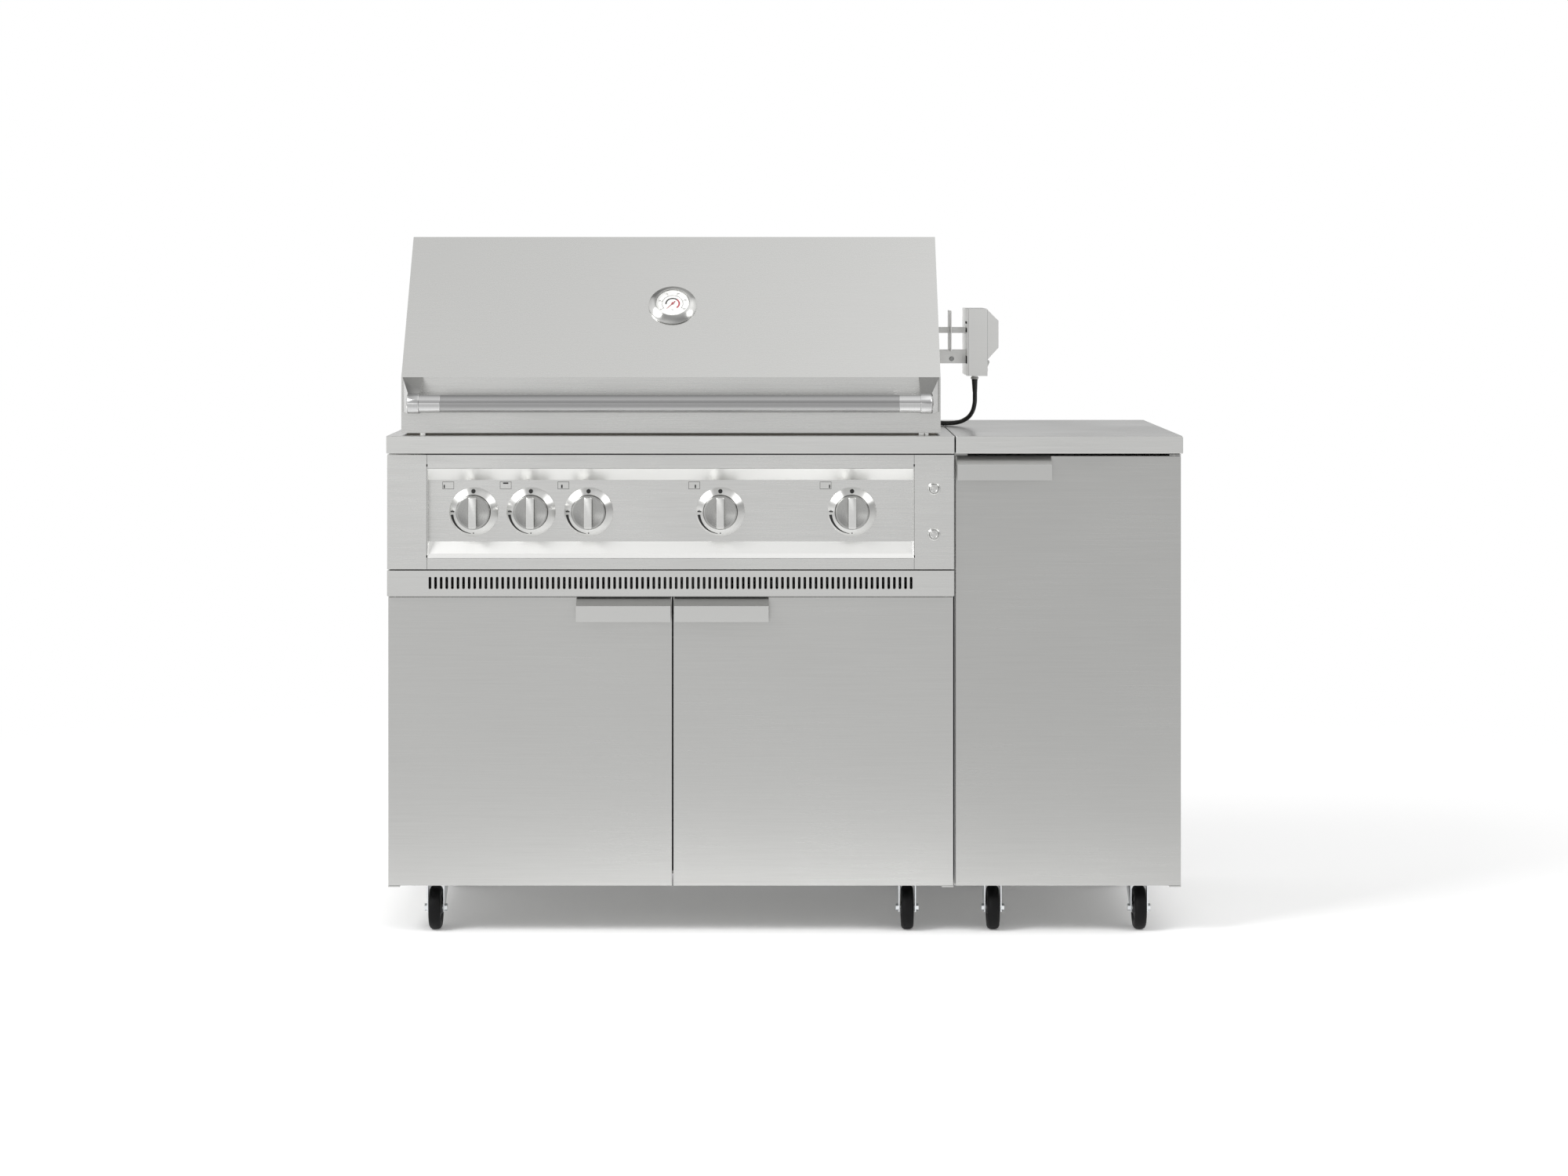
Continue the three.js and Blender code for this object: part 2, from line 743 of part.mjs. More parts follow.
// The firebox hangs in the counter by its flange. Its ears carry the lid, the spit and the rack,
// and an upstand between them closes the rear below the lid.
function fireboxEar(side) {
  const outer = grillCentre + side * earOuter;
  const inner = outer - side * earSheet;
  const left = Math.min(outer, inner);
  const right = Math.max(outer, inner);
  const slotTop = spitHeight + spitSlotRadius;
  const rackFrontY = frontY + rackFront;
  const plate = prismX([
    [frontY + earFront, counterHeight + gap], [pivotY, counterHeight + gap], [pivotY, earShoulder],
    [frontY + rackRear, rackHeight], [rackFrontY, rackHeight], [spitY + earTopHalf, slotTop],
    [spitY - earTopHalf, slotTop], [frontY + earFront, counterHeight + earFrontRise],
  ], left, right);
  const ear = join(plate, rodX(earLugRadius, left, right, pivotY, pivotHeight));
  const slot = block(left - overrun, right + overrun, spitY - spitSlotRadius, spitY + spitSlotRadius,
    spitHeight, slotTop + overrun);
  return cut(ear, slot, rodX(spitSlotRadius, left - overrun, right + overrun, spitY, spitHeight));
}

function pivotPin(side) {
  const inner = grillCentre + side * (earOuter - earSheet);
  const outer = grillCentre + side * (lidHalfWidth + pivotPinReach);
  return rodX(pivotPinRadius, Math.min(inner, outer), Math.max(inner, outer), pivotY, pivotHeight, smallSides);
}

function trayRail(side) {
  const near = grillCentre + side * (trayHalfWidth + gap);
  const far = near + side * sheet;
  const foot = near - side * railFoot;
  const front = frontY + trayFront;
  const rear = carcassRearY - sheet - gap;
  const footTop = trayBottom - gap;
  return join(
    block(Math.min(near, far), Math.max(near, far), front, rear, footTop - sheet, fireboxBottom + sheet / 2),
    block(Math.min(foot, far), Math.max(foot, far), front, rear, footTop - sheet, footTop),
  );
}

function firebox() {
  const left = grillCentre - fireboxHalfWidth;
  const right = grillCentre + fireboxHalfWidth;
  const front = frontY + fireboxFront;
  const rear = frontY + fireboxRear;
  const flange = block(grillCentre - earOuter, grillCentre + earOuter,
    lidFrontY + flangeInset, lidRearY - flangeInset, counterHeight + gap, flangeTop);
  const shell = block(left, right, front, rear, fireboxBottom, flangeTop);
  const room = block(left + sheet, right - sheet, front + sheet, rear - sheet, fireboxBottom + sheet,
    flangeTop + overrun);
  const drain = block(grillCentre - drainWidth / 2, grillCentre + drainWidth / 2,
    frontY + trayFront + ledge, frontY + trayFront + ledge + drainDepth,
    fireboxBottom - overrun, fireboxBottom + overrun);
  const burnerHoles = burnerOffsets.map((offset) => rodY(venturiRadius + gap, front - overrun, front + overrun,
    grillCentre + offset, knobHeight, smallSides));
  const ledges = [[front, front + ledge], [rear - ledge, rear]].map(([near, far]) => block(left, right,
    near + sheet / 2, far - sheet / 2, grateHeight - sheet, grateHeight));
  const feet = footInsets.map((footInset, index) => rodZ(footRadius, counterHeight + gap, lidBottom - gap,
    grillCentre + (index === 0 ? footInset - lidHalfWidth : lidHalfWidth - footInset),
    lidFrontY + flangeInset + footRadius, smallSides));
  const upstand = block(grillCentre - earOuter + earSheet / 2, grillCentre + earOuter - earSheet / 2,
    frontY + upstandSetback, frontY + upstandSetback + sheet, flangeTop - sheet / 2, upstandTop);
  return join(
    cut(join(flange, shell), room, drain, ...burnerHoles), ...ledges, ...feet, upstand,
    ...sides.flatMap((side) => [fireboxEar(side), pivotPin(side), trayRail(side)]),
  );
}

// Burners: tubes behind their valves on one manifold; the second valve feeds the rear burner
const burnerOffsets = knobOffsets.filter((_, index) => index !== 1);

function burnerSet() {
  const y = frontY + manifoldSetback;
  const manifold = rodX(manifoldRadius, grillCentre + knobOffsets[0] - valveHalf * 2,
    grillCentre + knobOffsets.at(-1) + valveHalf * 2, y, knobHeight, smallSides);
  const valves = knobOffsets.flatMap((offset) => {
    const x = grillCentre + offset;
    return [
      block(x - valveHalf, x + valveHalf, frontY + valveFront, y, knobHeight - valveHalf, knobHeight + valveHalf),
      rodY(stemRadius, panelY - bezelFloor - gap - stemGrip, frontY + valveFront + overrun, x, knobHeight,
        smallSides),
    ];
  });
  const tubes = burnerOffsets.map((offset) => {
    const x = grillCentre + offset;
    const venturi = rodY(venturiRadius, y, frontY + burnerFront + overrun, x, knobHeight, smallSides);
    const tube = rodY(burnerRadius, frontY + burnerFront, frontY + burnerRear, x, knobHeight, smallSides);
    const bore = rodY(burnerRadius - burnerWall, frontY + burnerFront + overrun, frontY + burnerRear + overrun,
      x, knobHeight, smallSides);
    return join(venturi, cut(tube, bore));
  });
  return join(manifold, ...valves, ...tubes);
}

function rearBurner() {
  const left = grillCentre - rearBurnerHalfWidth;
  const right = grillCentre + rearBurnerHalfWidth;
  const front = frontY + rearBurnerFront;
  const rear = frontY + rearBurnerRear;
  const body = block(left, right, front, rear, rearBurnerBottom, rearBurnerTop);
  const tile = block(left + rearBurnerRim, right - rearBurnerRim, front - overrun, front + rearBurnerTileDepth,
    rearBurnerBottom + rearBurnerRim, rearBurnerTop - rearBurnerRim);
  const foot = block(left, right, rear - sheet, frontY + upstandSetback - sheet,
    flangeTop + gap, flangeTop + gap + sheet);
  const back = block(left, right, rear - sheet, rear, flangeTop + gap, rearBurnerTop);
  return join(cut(body, tile), foot, back);
}

// A flat grate with long slots between its bars, resting on the firebox ledges
function cookingGrate() {
  const left = grillCentre - fireboxHalfWidth + sheet + gap;
  const right = grillCentre + fireboxHalfWidth - sheet - gap;
  const front = frontY + fireboxFront + sheet + gap;
  const rear = frontY + fireboxRear - sheet - gap;
  const bottom = grateHeight + gap;
  const top = bottom + grateThickness;
  const pitch = (right - left - grateRim * 2) / grateSlots;
  const slotHalf = pitch * grateSlotShare / 2;
  const slots = Array.from({ length: grateSlots }, (_, index) => {
    const x = left + grateRim + pitch * (index + 1 / 2);
    return block(x - slotHalf, x + slotHalf, front + grateRim, rear - grateRim, bottom - overrun, top + overrun);
  });
  return cut(block(left, right, front, rear, bottom, top), ...slots);
}

// A rack of rods along X behind the spit, resting on the ears
function warmingRack() {
  const short = earOuter - earSheet - rackPinReach;
  const z = rackHeight + gap;
  const step = (rackRear - rackFront - rackRod) / (rackBars - 1);
  const rods = Array.from({ length: rackBars }, (_, index) => {
    const y = frontY + rackFront + step * index;
    const reach = index === 0 || index === rackBars - 1 ? earOuter : short;
    return block(grillCentre - reach, grillCentre + reach, y, y + rackRod, z, z + rackRod);
  });
  const ends = sides.map((side) => {
    const outer = grillCentre + side * short;
    const near = outer - side * rackRod;
    return block(Math.min(near, outer), Math.max(near, outer), frontY + rackFront, frontY + rackRear, z, z + rackRod);
  });
  return join(...rods, ...ends);
}

// The lid: a folded hood with closed sides, a notch for the spit and bores for the pins
function lidShell() {
  const left = grillCentre - lidHalfWidth;
  const right = grillCentre + lidHalfWidth;
  const outline = [
    [lidFrontY, lidBottom], [lidRearY, lidBottom], [lidRearY, lidRearTop],
    [lidFrontY + slopeRun + lidFlat, lidTop], [lidFrontY + slopeRun, lidTop], [lidFrontY, lidBend],
  ];
  const room = prismX(inset(outline, sheet), left + sheet, right - sheet);
  const mouth = block(left + sheet, right - sheet, lidFrontY + sheet, lidRearY - sheet,
    lidBottom - overrun, lidBend);
  const rearCut = block(left + sheet, right - sheet, lidRearY - sheet - overrun, lidRearY + overrun,
    lidBottom - overrun, pivotHeight + pivotPinRadius);
  const notch = block(right - sheet - overrun, right + overrun, frontY + notchFront, frontY + notchRear,
    lidBottom - overrun, notchTop);
  const bore = rodX(pivotPinRadius + gap, left - overrun, right + overrun, pivotY, pivotHeight, smallSides);
  const probe = rodY(probeRadius + gap, -overrun, overrun, 0, 0, smallSides)
    .rotateX(-slopeAngle).translate(grillCentre, gaugeY, gaugeHeight);
  return cut(prismX(outline, left, right), room, mouth, rearCut, notch, bore, probe);
}

// The tubular handle with its polished sleeves and end collars, turned about X
function lidHandle() {
  const sleeve = handleRadius;
  const knurl = handleRadius - gap;
  const half = turned([
    [0, 0], [knurl, 0], [knurl, knurlHalfLength], [sleeve, knurlHalfLength], [sleeve, collarInner],
    [collarRadius, collarInner], [collarRadius, collarOuter], [0, collarOuter],
  ]);
  return join(half.clone().rotateZ(Math.PI / 2), half.rotateZ(-Math.PI / 2));
}

// A wedge between the lid's band and the handle's collar; it tapers to the collar
function handleBracket(side) {
  const collarBottom = handleHeight - collarRadius;
  const profile = prismX([
    [lidFrontY - gap, collarBottom], [lidFrontY - gap, lidBend], [handleY, handleHeight + collarRadius],
    [handleY, collarBottom],
  ].reverse(), -bracketRootOuter, bracketRootOuter);
  const plan = [[collarInner, lidFrontY], [collarInner, handleY], [collarOuter, handleY],
    [bracketRootOuter, lidFrontY]].map(([x, y]) => [side * x, y]);
  const taper = prismZ(plan, collarBottom - overrun, lidBend + overrun);
  const wedge = common(profile, taper);
  return cut(wedge, rodX(collarRadius + gap, -bracketRootOuter, bracketRootOuter, handleY, handleHeight));
}

// The thermometer: a conical ring with its case and probe, and a dial that sits inside the ring
function gaugeBezel() {
  return turned([
    [0, -probeLength], [probeRadius, -probeLength], [probeRadius, gap], [gaugeRadius, gap],
    [gaugeRadius, gaugeEdge], [gaugeWindow, gaugeRise], [gaugeWindow, gaugeFloor], [0, gaugeFloor],
  ], roundSides);
}

function gaugeDial() {
  return new THREE.CylinderGeometry(gaugeWindow - gap, gaugeWindow - gap, gaugeDialRise, roundSides)
    .translate(0, gaugeFloor + gap + gaugeDialRise / 2, 0);
}

function knobBezel() {
  return turned([
    [bezelBore, gap], [bezelRadius, gap], [bezelRadius, bezelEdge], [bezelInnerRadius, bezelRise],
    [bezelInnerRadius, bezelFloor], [bezelBore, bezelFloor],
  ]);
}

// A disc with a grip bar across it and a blind bore for the valve stem
function knob() {
  const rear = bezelFloor + gap;
  const disc = rodY(knobRadius, -rear - knobDisc, -rear, 0, 0);
  const halfGrip = gripWidth / 2;
  const straight = gripLength / 2 - halfGrip;
  const grip = new THREE.Shape();
  grip.moveTo(halfGrip, -straight);
  grip.lineTo(halfGrip, straight);
  grip.absarc(0, straight, halfGrip, 0, Math.PI);
  grip.lineTo(-halfGrip, -straight);
  grip.absarc(0, -straight, halfGrip, Math.PI, Math.PI * 2);
  const bar = new THREE.ExtrudeGeometry(grip, { depth: knobReach - rear - knobDisc / 2, bevelEnabled: false,
    curveSegments: smallSides / 2 });
  bar.applyMatrix4(new THREE.Matrix4().makeBasis(alongX, alongZ, alongY.clone().negate()));
  bar.translate(0, -rear - knobDisc / 2, 0);
  const bore = rodY(stemRadius + gap, -rear - stemGrip - gap, overrun, 0, 0, smallSides);
  return cut(join(disc, bar), bore);
}

function pushButton() {
  return rodY(buttonRadius, -buttonRise, buttonLength - buttonRise, 0, 0);
}

// Rotisserie: the square spit with its round tip, running from the left ear into the motor
function spitRod() {
  const half = spitSize / 2;
  const tipEnd = -earOuter - earSheet;
  const right = motorOffset + socketDepth - gap;
  const rod = block(tipEnd + spitTipLength / 2, right, -half, half, -half, half);
  return join(rod, rodX(spitTipRadius, tipEnd, tipEnd + spitTipLength, 0, 0));
}

function spitSlot(left, right) {
  return join(
    rodX(spitSlotRadius, left, right, spitY, spitHeight),
    block(left, right, spitY - spitSlotRadius, spitY + spitSlotRadius, spitHeight, supportTop + overrun),
  );
}

// The bracket: an arm from the right ear, a slotted support for the spit and a plate for the motor
function motorBracket() {
  const earFace = grillCentre + earOuter + gap;
  const plateRight = motorX - gap;
  const plateLeft = plateRight - bracketSheet;
  const supportX = grillCentre + supportOffset;
  const armLeft = earFace + bracketSheet / 2;
  const armFace = block(armLeft, plateRight - bracketSheet / 2, frontY + armFront,
    frontY + armFront + bracketSheet, armBottom, armTop);
  const armDeck = block(armLeft, plateRight - bracketSheet / 2, frontY + armFront, frontY + armRear,
    armTop - bracketSheet, armTop);
  const shoe = block(earFace, earFace + bracketSheet, frontY + armFront, frontY + armRear, armBottom, armTop);
  const support = cut(
    block(supportX, supportX + bracketSheet, frontY + supportFront, frontY + supportRear,
      armTop - bracketSheet, supportTop),
    spitSlot(supportX - overrun, supportX + bracketSheet + overrun),
  );
  const plate = cut(
    block(plateLeft, plateRight, frontY + motorFront, frontY + motorRear + stileFlange, motorBottom, motorTop),
    rodX(spitSlotRadius, plateLeft - overrun, plateRight + overrun, spitY, spitHeight),
  );
  return join(armFace, armDeck, shoe, support, plate);
}

// The motor housing, with the spit's socket, a recess for the switch and the cord's gland
function rotisserieMotor() {
  const belly = motorX + motorWidth;
  const waist = motorX + motorWaist;
  const body = prismY([
    [motorX, motorBottom], [waist, motorBottom], [waist, motorBellyStart], [belly, motorBellyBottom],
    [belly, motorTop - motorTopChamfer], [belly - motorTopChamfer, motorTop], [motorX, motorTop],
  ], frontY + motorFront, frontY + motorRear);
  const socket = rodX(spitSlotRadius, motorX - overrun, motorX + socketDepth, spitY, spitHeight);
  const recess = block(waist - switchSink - gap, waist + overrun, spitY - switchHalfDepth - gap,
    spitY + switchHalfDepth + gap, switchBottom, switchTop);
  const gland = rodZ(glandRadius, motorBottom - glandLength, motorBottom + overrun, glandX, glandY, smallSides);
  return join(cut(body, socket, recess), gland);
}

// The rocker: a rounded paddle on its pivot, centred on the pivot
function motorSwitch() {
  const half = (switchTop - switchBottom) / 2 - switchPlay;
  const crown = new THREE.Shape();
  crown.moveTo(0, -half);
  crown.quadraticCurveTo(switchRise + switchRise / 2, -half / 2, switchRise, 0);
  crown.quadraticCurveTo(switchRise + switchRise / 2, half / 2, 0, half);
  crown.quadraticCurveTo(-switchSink, half / 2, -switchSink + gap, 0);
  crown.quadraticCurveTo(-switchSink, -half / 2, 0, -half);
  const paddle = new THREE.ExtrudeGeometry(crown, { depth: switchHalfDepth * 2, bevelEnabled: false,
    curveSegments: bendSteps });
  return paddle.applyMatrix4(new THREE.Matrix4().makeBasis(alongX, alongZ, alongY.clone().negate()))
    .translate(0, switchHalfDepth, 0);
}

// A round section for the cord
function cordSection(sides) {
  return new THREE.Shape(Array.from({ length: sides }, (_, index) => {
    const angle = Math.PI * 2 * index / sides;
    return new THREE.Vector2(Math.cos(angle) * cordRadius, Math.sin(angle) * cordRadius);
  }));
}

function cordTube() {
  const curve = new THREE.CatmullRomCurve3(cordRoute.map((point) => new THREE.Vector3(...point)), false,
    'centripetal');
  return new THREE.ExtrudeGeometry(cordSection(cordSides), { steps: cordSteps, extrudePath: curve });
}

// The coil behind the lid: it spirals in, climbs a layer where it turns back, and spirals out again.
// It starts and ends on a straight stretch.
const coilHalfTurns = coilTurns / 2;
const coilOuter = coilRadius + coilPitch * coilHalfTurns / 2;
const cordEnd = cordRoute.at(-1);
const coilX = cordEnd[0] - coilOuter;
const coilY = rearY - coilRearInset;
const coilTopZ = cordFloorZ + coilLayerRise;
const cordDiameter = cordRadius * 2;

class CoilTurns extends THREE.Curve {
  getPoint(share, target = new THREE.Vector3()) {
    const turn = coilTurns * share;
    const fromMiddle = turn - coilHalfTurns;
    const radius = coilRadius + coilPitch * (Math.abs(fromMiddle) - coilHalfTurns / 2);
    const climb = THREE.MathUtils.smoothstep(fromMiddle, -coilClimbTurns / 2, coilClimbTurns / 2);
    const angle = Math.PI * 2 * turn;
    return target.set(coilX + Math.cos(angle) * radius, coilY + Math.sin(angle) * radius,
      cordFloorZ + coilLayerRise * climb);
  }
}

function coilPath() {
  const path = new THREE.CurvePath();
  path.add(new THREE.LineCurve3(new THREE.Vector3(cordEnd[0], cordEnd[1] + gap, cordFloorZ),
    new THREE.Vector3(cordEnd[0], coilY, cordFloorZ)));
  path.add(new CoilTurns());
  path.add(new THREE.LineCurve3(new THREE.Vector3(coilX, coilY + coilOuter, coilTopZ),
    new THREE.Vector3(coilX - coilTail, coilY + coilOuter, coilTopZ)));
  return path;
}

// The least distance between points of the coil half a loop or more apart, less the diameter
function coilGap(path) {
  const points = path.getSpacedPoints(coilLoopSteps * coilLoopSteps);
  const halfLoop = Math.PI * coilRadius;
  const step = path.getLength() / (points.length - 1);
  const apart = Math.ceil(halfLoop / step);
  let least = Infinity;
  points.forEach((point, index) => {
    points.slice(index + apart).forEach((other) => {
      least = Math.min(least, point.distanceTo(other));
    });
  });
  return least - cordDiameter;
}

function cordCoil() {
  const path = coilPath();
  console.log(`Least gap between the turns of the cord's coil: ${coilGap(path).toFixed(2)} mm`);
  const steps = Math.ceil(coilLoopSteps * path.getLength() / (Math.PI * 2 * coilRadius));
  return new THREE.ExtrudeGeometry(cordSection(coilSides), { steps, extrudePath: path });
}

// The plug: a round body with two flat blades, lying on the counter and pointing along -X
function cordPlug() {
  const radius = coilTopZ - counterHeight - gap;
  const body = rodX(radius, -plugLength, 0, 0, 0, smallSides);
  const blades = sides.map((side) => block(-plugLength - plugPinReach, -plugLength / 2,
    side * plugPinSpread - plugPinSheet / 2, side * plugPinSpread + plugPinSheet / 2, -plugPinHalf, plugPinHalf));
  return join(body, ...blades);
}

// The drip tray slides out of the rear wall on the firebox's rails
function dripTray() {
  const left = grillCentre - trayHalfWidth;
  const right = grillCentre + trayHalfWidth;
  const front = frontY + trayFront;
  const faceY = carcassRearY + gap;
  const pan = cut(
    block(left, right, front, faceY + sheet, trayBottom, trayTop),
    block(left + sheet, right - sheet, front + sheet, faceY - sheet, trayBottom + sheet, trayTop + overrun),
  );
  const face = block(left - trayFaceMargin, right + trayFaceMargin, faceY, faceY + sheet,
    trayBottom - trayFaceMargin, trayTop + trayFaceMargin);
  const grip = block(left + trayHalfWidth / 2, right - trayHalfWidth / 2, faceY, faceY + trayGripReach,
    trayTop + trayFaceMargin - sheet, trayTop + trayFaceMargin);
  return join(pan, face, grip);
}

// A caster, about its swivel on the floor; the wheel runs ahead of the swivel
const forkTop = baseBottom - casterPlateThickness - gap;
const forkDeck = forkTop - swivelHeight;

function casterFork() {
  const half = forkHalfGap + forkSheet;
  const front = -casterTrail - forkFront;
  const rear = -casterTrail + forkRear;
  const cheek = [
    [front, forkDeck], [front, wheelRadius - forkToeHalf], [-casterTrail + forkToeHalf, wheelRadius - forkToeHalf],
    [rear, forkWaistHeight], [rear, forkDeck],
  ];
  const crown = rodZ(swivelRadius, forkDeck, forkTop, 0, 0, swivelSides);
  const deck = block(-half, half, front, rear, forkDeck - forkCrownDrop, forkDeck);
  const axle = rodX(axleRadius, -half - axleHeadReach, half + axleHeadReach, -casterTrail, wheelRadius, smallSides);
  const heads = sides.map((side) => rodX(axleHeadRadius, Math.min(side * half, side * (half + axleHeadReach)),
    Math.max(side * half, side * (half + axleHeadReach)), -casterTrail, wheelRadius, smallSides / 2));
  return join(crown, deck, prismX(cheek, -half, -forkHalfGap), prismX(cheek, forkHalfGap, half), axle, ...heads);
}

// The tread's flats lie at the wheel's radius, and one of them is at the bottom
function casterWheel() {
  const flatShare = 1 / Math.cos(Math.PI / wheelSides);
  const half = wheelWidth / 2;
  const tread = wheelRadius * flatShare;
  const bore = (axleRadius + gap) * flatShare;
  const wheel = turned([
    [bore, -half], [tread - wheelShoulder, -half], [tread, wheelShoulder - half],
    [tread, half - wheelShoulder], [tread - wheelShoulder, half], [bore, half],
  ], wheelSides);
  return wheel.rotateY(Math.PI / wheelSides).rotateZ(-Math.PI / 2);
}

// Looks and places
const brushed = { color: 0xc4c4c2, roughness: 0.38, metalness: 1 };
const darkBrushed = { color: 0x9b9b99, roughness: 0.45, metalness: 1 };
const polished = { color: 0xd8d8d8, roughness: 0.15, metalness: 1 };
const zinc = { color: 0xb9bcbc, roughness: 0.4, metalness: 1 };
const blackRubber = { color: 0x161616, roughness: 0.7, metalness: 0 };
const castIron = { color: 0x2b2b2b, roughness: 0.8, metalness: 0.3 };
const whiteEnamel = { color: 0xe9e9e6, roughness: 0.3, metalness: 0 };

const island = new THREE.Group();

function group(parent, ...position) {
  const child = new THREE.Group();
  child.position.set(...position);
  parent.add(child);
  return child;
}

function place(parent, name, geometry, look) {
  const mesh = new THREE.Mesh(geometry, new THREE.MeshStandardMaterial(look));
  mesh.name = name;
  parent.add(mesh);
  return mesh;
}

const cabinets = group(island, 0, 0, 0);
place(cabinets, 'grill_cabinet', grillCabinet(), brushed);
place(cabinets, 'grill_base', baseFrame(islandLeft, grillRight, grillCentre, grillCasterHalfPitch), darkBrushed);
place(cabinets, 'grill_counter', grillCounter(), brushed);
place(cabinets, 'front_frame', frontFrame(), brushed);
place(cabinets, 'control_panel', controlPanel(), brushed);
place(cabinets, 'vent_strip', ventStrip(), brushed);
place(cabinets, 'side_cabinet', sideCabinet(), brushed);
place(cabinets, 'side_base', baseFrame(sideLeft, sideRight, sideCentre, sideCasterHalfPitch), darkBrushed);
place(cabinets, 'side_counter', counter(sideLeft, sideRight), brushed);
place(cabinets, 'side_shelf', sideShelf(), brushed);
place(cabinets, 'door_left', door(leftDoorLeft, leftDoorRight, doorTop, leftHingeX), brushed);
place(cabinets, 'door_right', door(rightDoorLeft, rightDoorRight, doorTop, rightHingeX), brushed);
place(cabinets, 'side_door', door(sideDoorLeft, sideDoorRight, sideDoorTop, sideHingeX), brushed);

const grill = group(island, 0, 0, 0);
place(grill, 'firebox', firebox(), darkBrushed);
place(grill, 'cooking_grate', cookingGrate(), castIron);
place(grill, 'burner_set', burnerSet(), darkBrushed);
place(grill, 'rear_burner', rearBurner(), darkBrushed);
place(grill, 'warming_rack', warmingRack(), polished);
place(grill, 'drip_tray', dripTray(), darkBrushed);

knobOffsets.forEach((offset, index) => {
  const spindle = group(grill, grillCentre + offset, panelY, knobHeight);
  const bezel = place(spindle, `knob_bezel_${index + 1}`, knobBezel(), brushed);
  bezel.rotation.x = Math.PI;
  place(spindle, `knob_${index + 1}`, knob(), brushed);
});

['igniter_button', 'light_button'].forEach((name, index) => {
  const seat = group(grill, grillCentre + buttonOffset, frameY, buttonHeights[index]);
  place(seat, name, pushButton(), polished);
});

const lid = group(grill, 0, 0, 0);
place(lid, 'lid_shell', lidShell(), brushed);
const handleAxis = group(lid, grillCentre, handleY, handleHeight);
place(handleAxis, 'lid_handle', lidHandle(), polished);
const bracketSeat = group(lid, grillCentre, 0, 0);
place(bracketSeat, 'handle_bracket_left', handleBracket(-1), brushed);
place(bracketSeat, 'handle_bracket_right', handleBracket(1), brushed);
const gaugeSeat = group(lid, grillCentre, gaugeY, gaugeHeight);
gaugeSeat.rotation.x = Math.PI - slopeAngle;
place(gaugeSeat, 'gauge_bezel', gaugeBezel(), polished);
place(gaugeSeat, 'gauge_dial', gaugeDial(), whiteEnamel);

const rotisserie = group(grill, 0, 0, 0);
place(rotisserie, 'motor_bracket', motorBracket(), brushed);
place(rotisserie, 'rotisserie_motor', rotisserieMotor(), brushed);
const spitAxis = group(rotisserie, grillCentre, spitY, spitHeight);
place(spitAxis, 'spit_rod', spitRod(), polished);
const switchPivot = group(rotisserie, motorX + motorWaist, spitY, (switchBottom + switchTop) / 2);
switchPivot.rotation.y = THREE.MathUtils.degToRad(switchTilt);
place(switchPivot, 'motor_switch', motorSwitch(), blackRubber);
place(rotisserie, 'rotisserie_cord', cordTube(), blackRubber);
place(rotisserie, 'cord_coil', cordCoil(), blackRubber);
const plugSeat = group(rotisserie, coilX - coilTail - gap, coilY + coilOuter, coilTopZ);
place(plugSeat, 'cord_plug', cordPlug(), blackRubber);

const grillCasters = casterPlaces(grillCentre, grillCasterHalfPitch);
const sideCasters = casterPlaces(sideCentre, sideCasterHalfPitch);
[...grillCasters, ...sideCasters].forEach(([x, y], index) => {
  const swivel = group(island, x, y, 0);
  place(swivel, `caster_fork_${index + 1}`, casterFork(), zinc);
  const axle = group(swivel, 0, -casterTrail, wheelRadius);
  place(axle, `caster_wheel_${index + 1}`, casterWheel(), blackRubber);
});

export default island;
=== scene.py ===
import math

import bmesh
import bpy
from mathutils import Matrix, Vector


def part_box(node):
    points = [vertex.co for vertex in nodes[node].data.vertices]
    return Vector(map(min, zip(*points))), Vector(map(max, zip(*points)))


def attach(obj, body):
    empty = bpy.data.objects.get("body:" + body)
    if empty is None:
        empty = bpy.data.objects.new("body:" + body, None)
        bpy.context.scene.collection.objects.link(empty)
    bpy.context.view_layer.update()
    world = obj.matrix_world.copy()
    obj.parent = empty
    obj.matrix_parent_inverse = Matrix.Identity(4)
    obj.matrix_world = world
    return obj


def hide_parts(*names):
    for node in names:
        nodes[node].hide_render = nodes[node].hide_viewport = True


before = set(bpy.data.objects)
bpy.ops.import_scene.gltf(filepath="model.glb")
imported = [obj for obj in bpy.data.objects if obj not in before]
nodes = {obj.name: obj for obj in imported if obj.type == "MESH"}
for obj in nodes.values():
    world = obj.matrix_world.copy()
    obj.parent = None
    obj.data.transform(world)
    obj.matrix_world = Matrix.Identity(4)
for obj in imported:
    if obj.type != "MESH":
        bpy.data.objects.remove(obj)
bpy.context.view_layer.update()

mm = 0.001
scene = bpy.context.scene
scene.view_settings.view_transform = "Standard"
print("frame loaded:", len(nodes), "solids")

# Camera, straight in front of the island
shot = {
    "place": (-0.0257, -6.444, 1.2329),
    "turn": (90, 0, 0),
    "lens": 76.8,
    "sensor": 36,
    "shift": (0.0085, -0.2055),
}
camera = bpy.data.objects.new("camera", bpy.data.cameras.new("camera"))
camera.location = shot["place"]
camera.rotation_euler = [math.radians(a) for a in shot["turn"]]
camera.data.lens = shot["lens"]
camera.data.sensor_width = shot["sensor"]
camera.data.shift_x, camera.data.shift_y = shot["shift"]
scene.collection.objects.link(camera)
scene.camera = camera


# Materials

def colour(code):
    # sRGB hex to linear
    parts = [int(code[i:i + 2], 16) / 255 for i in (0, 2, 4)]
    return [c / 12.92 if c <= 0.04045 else ((c + 0.055) / 1.055) ** 2.4 for c in parts] + [1]


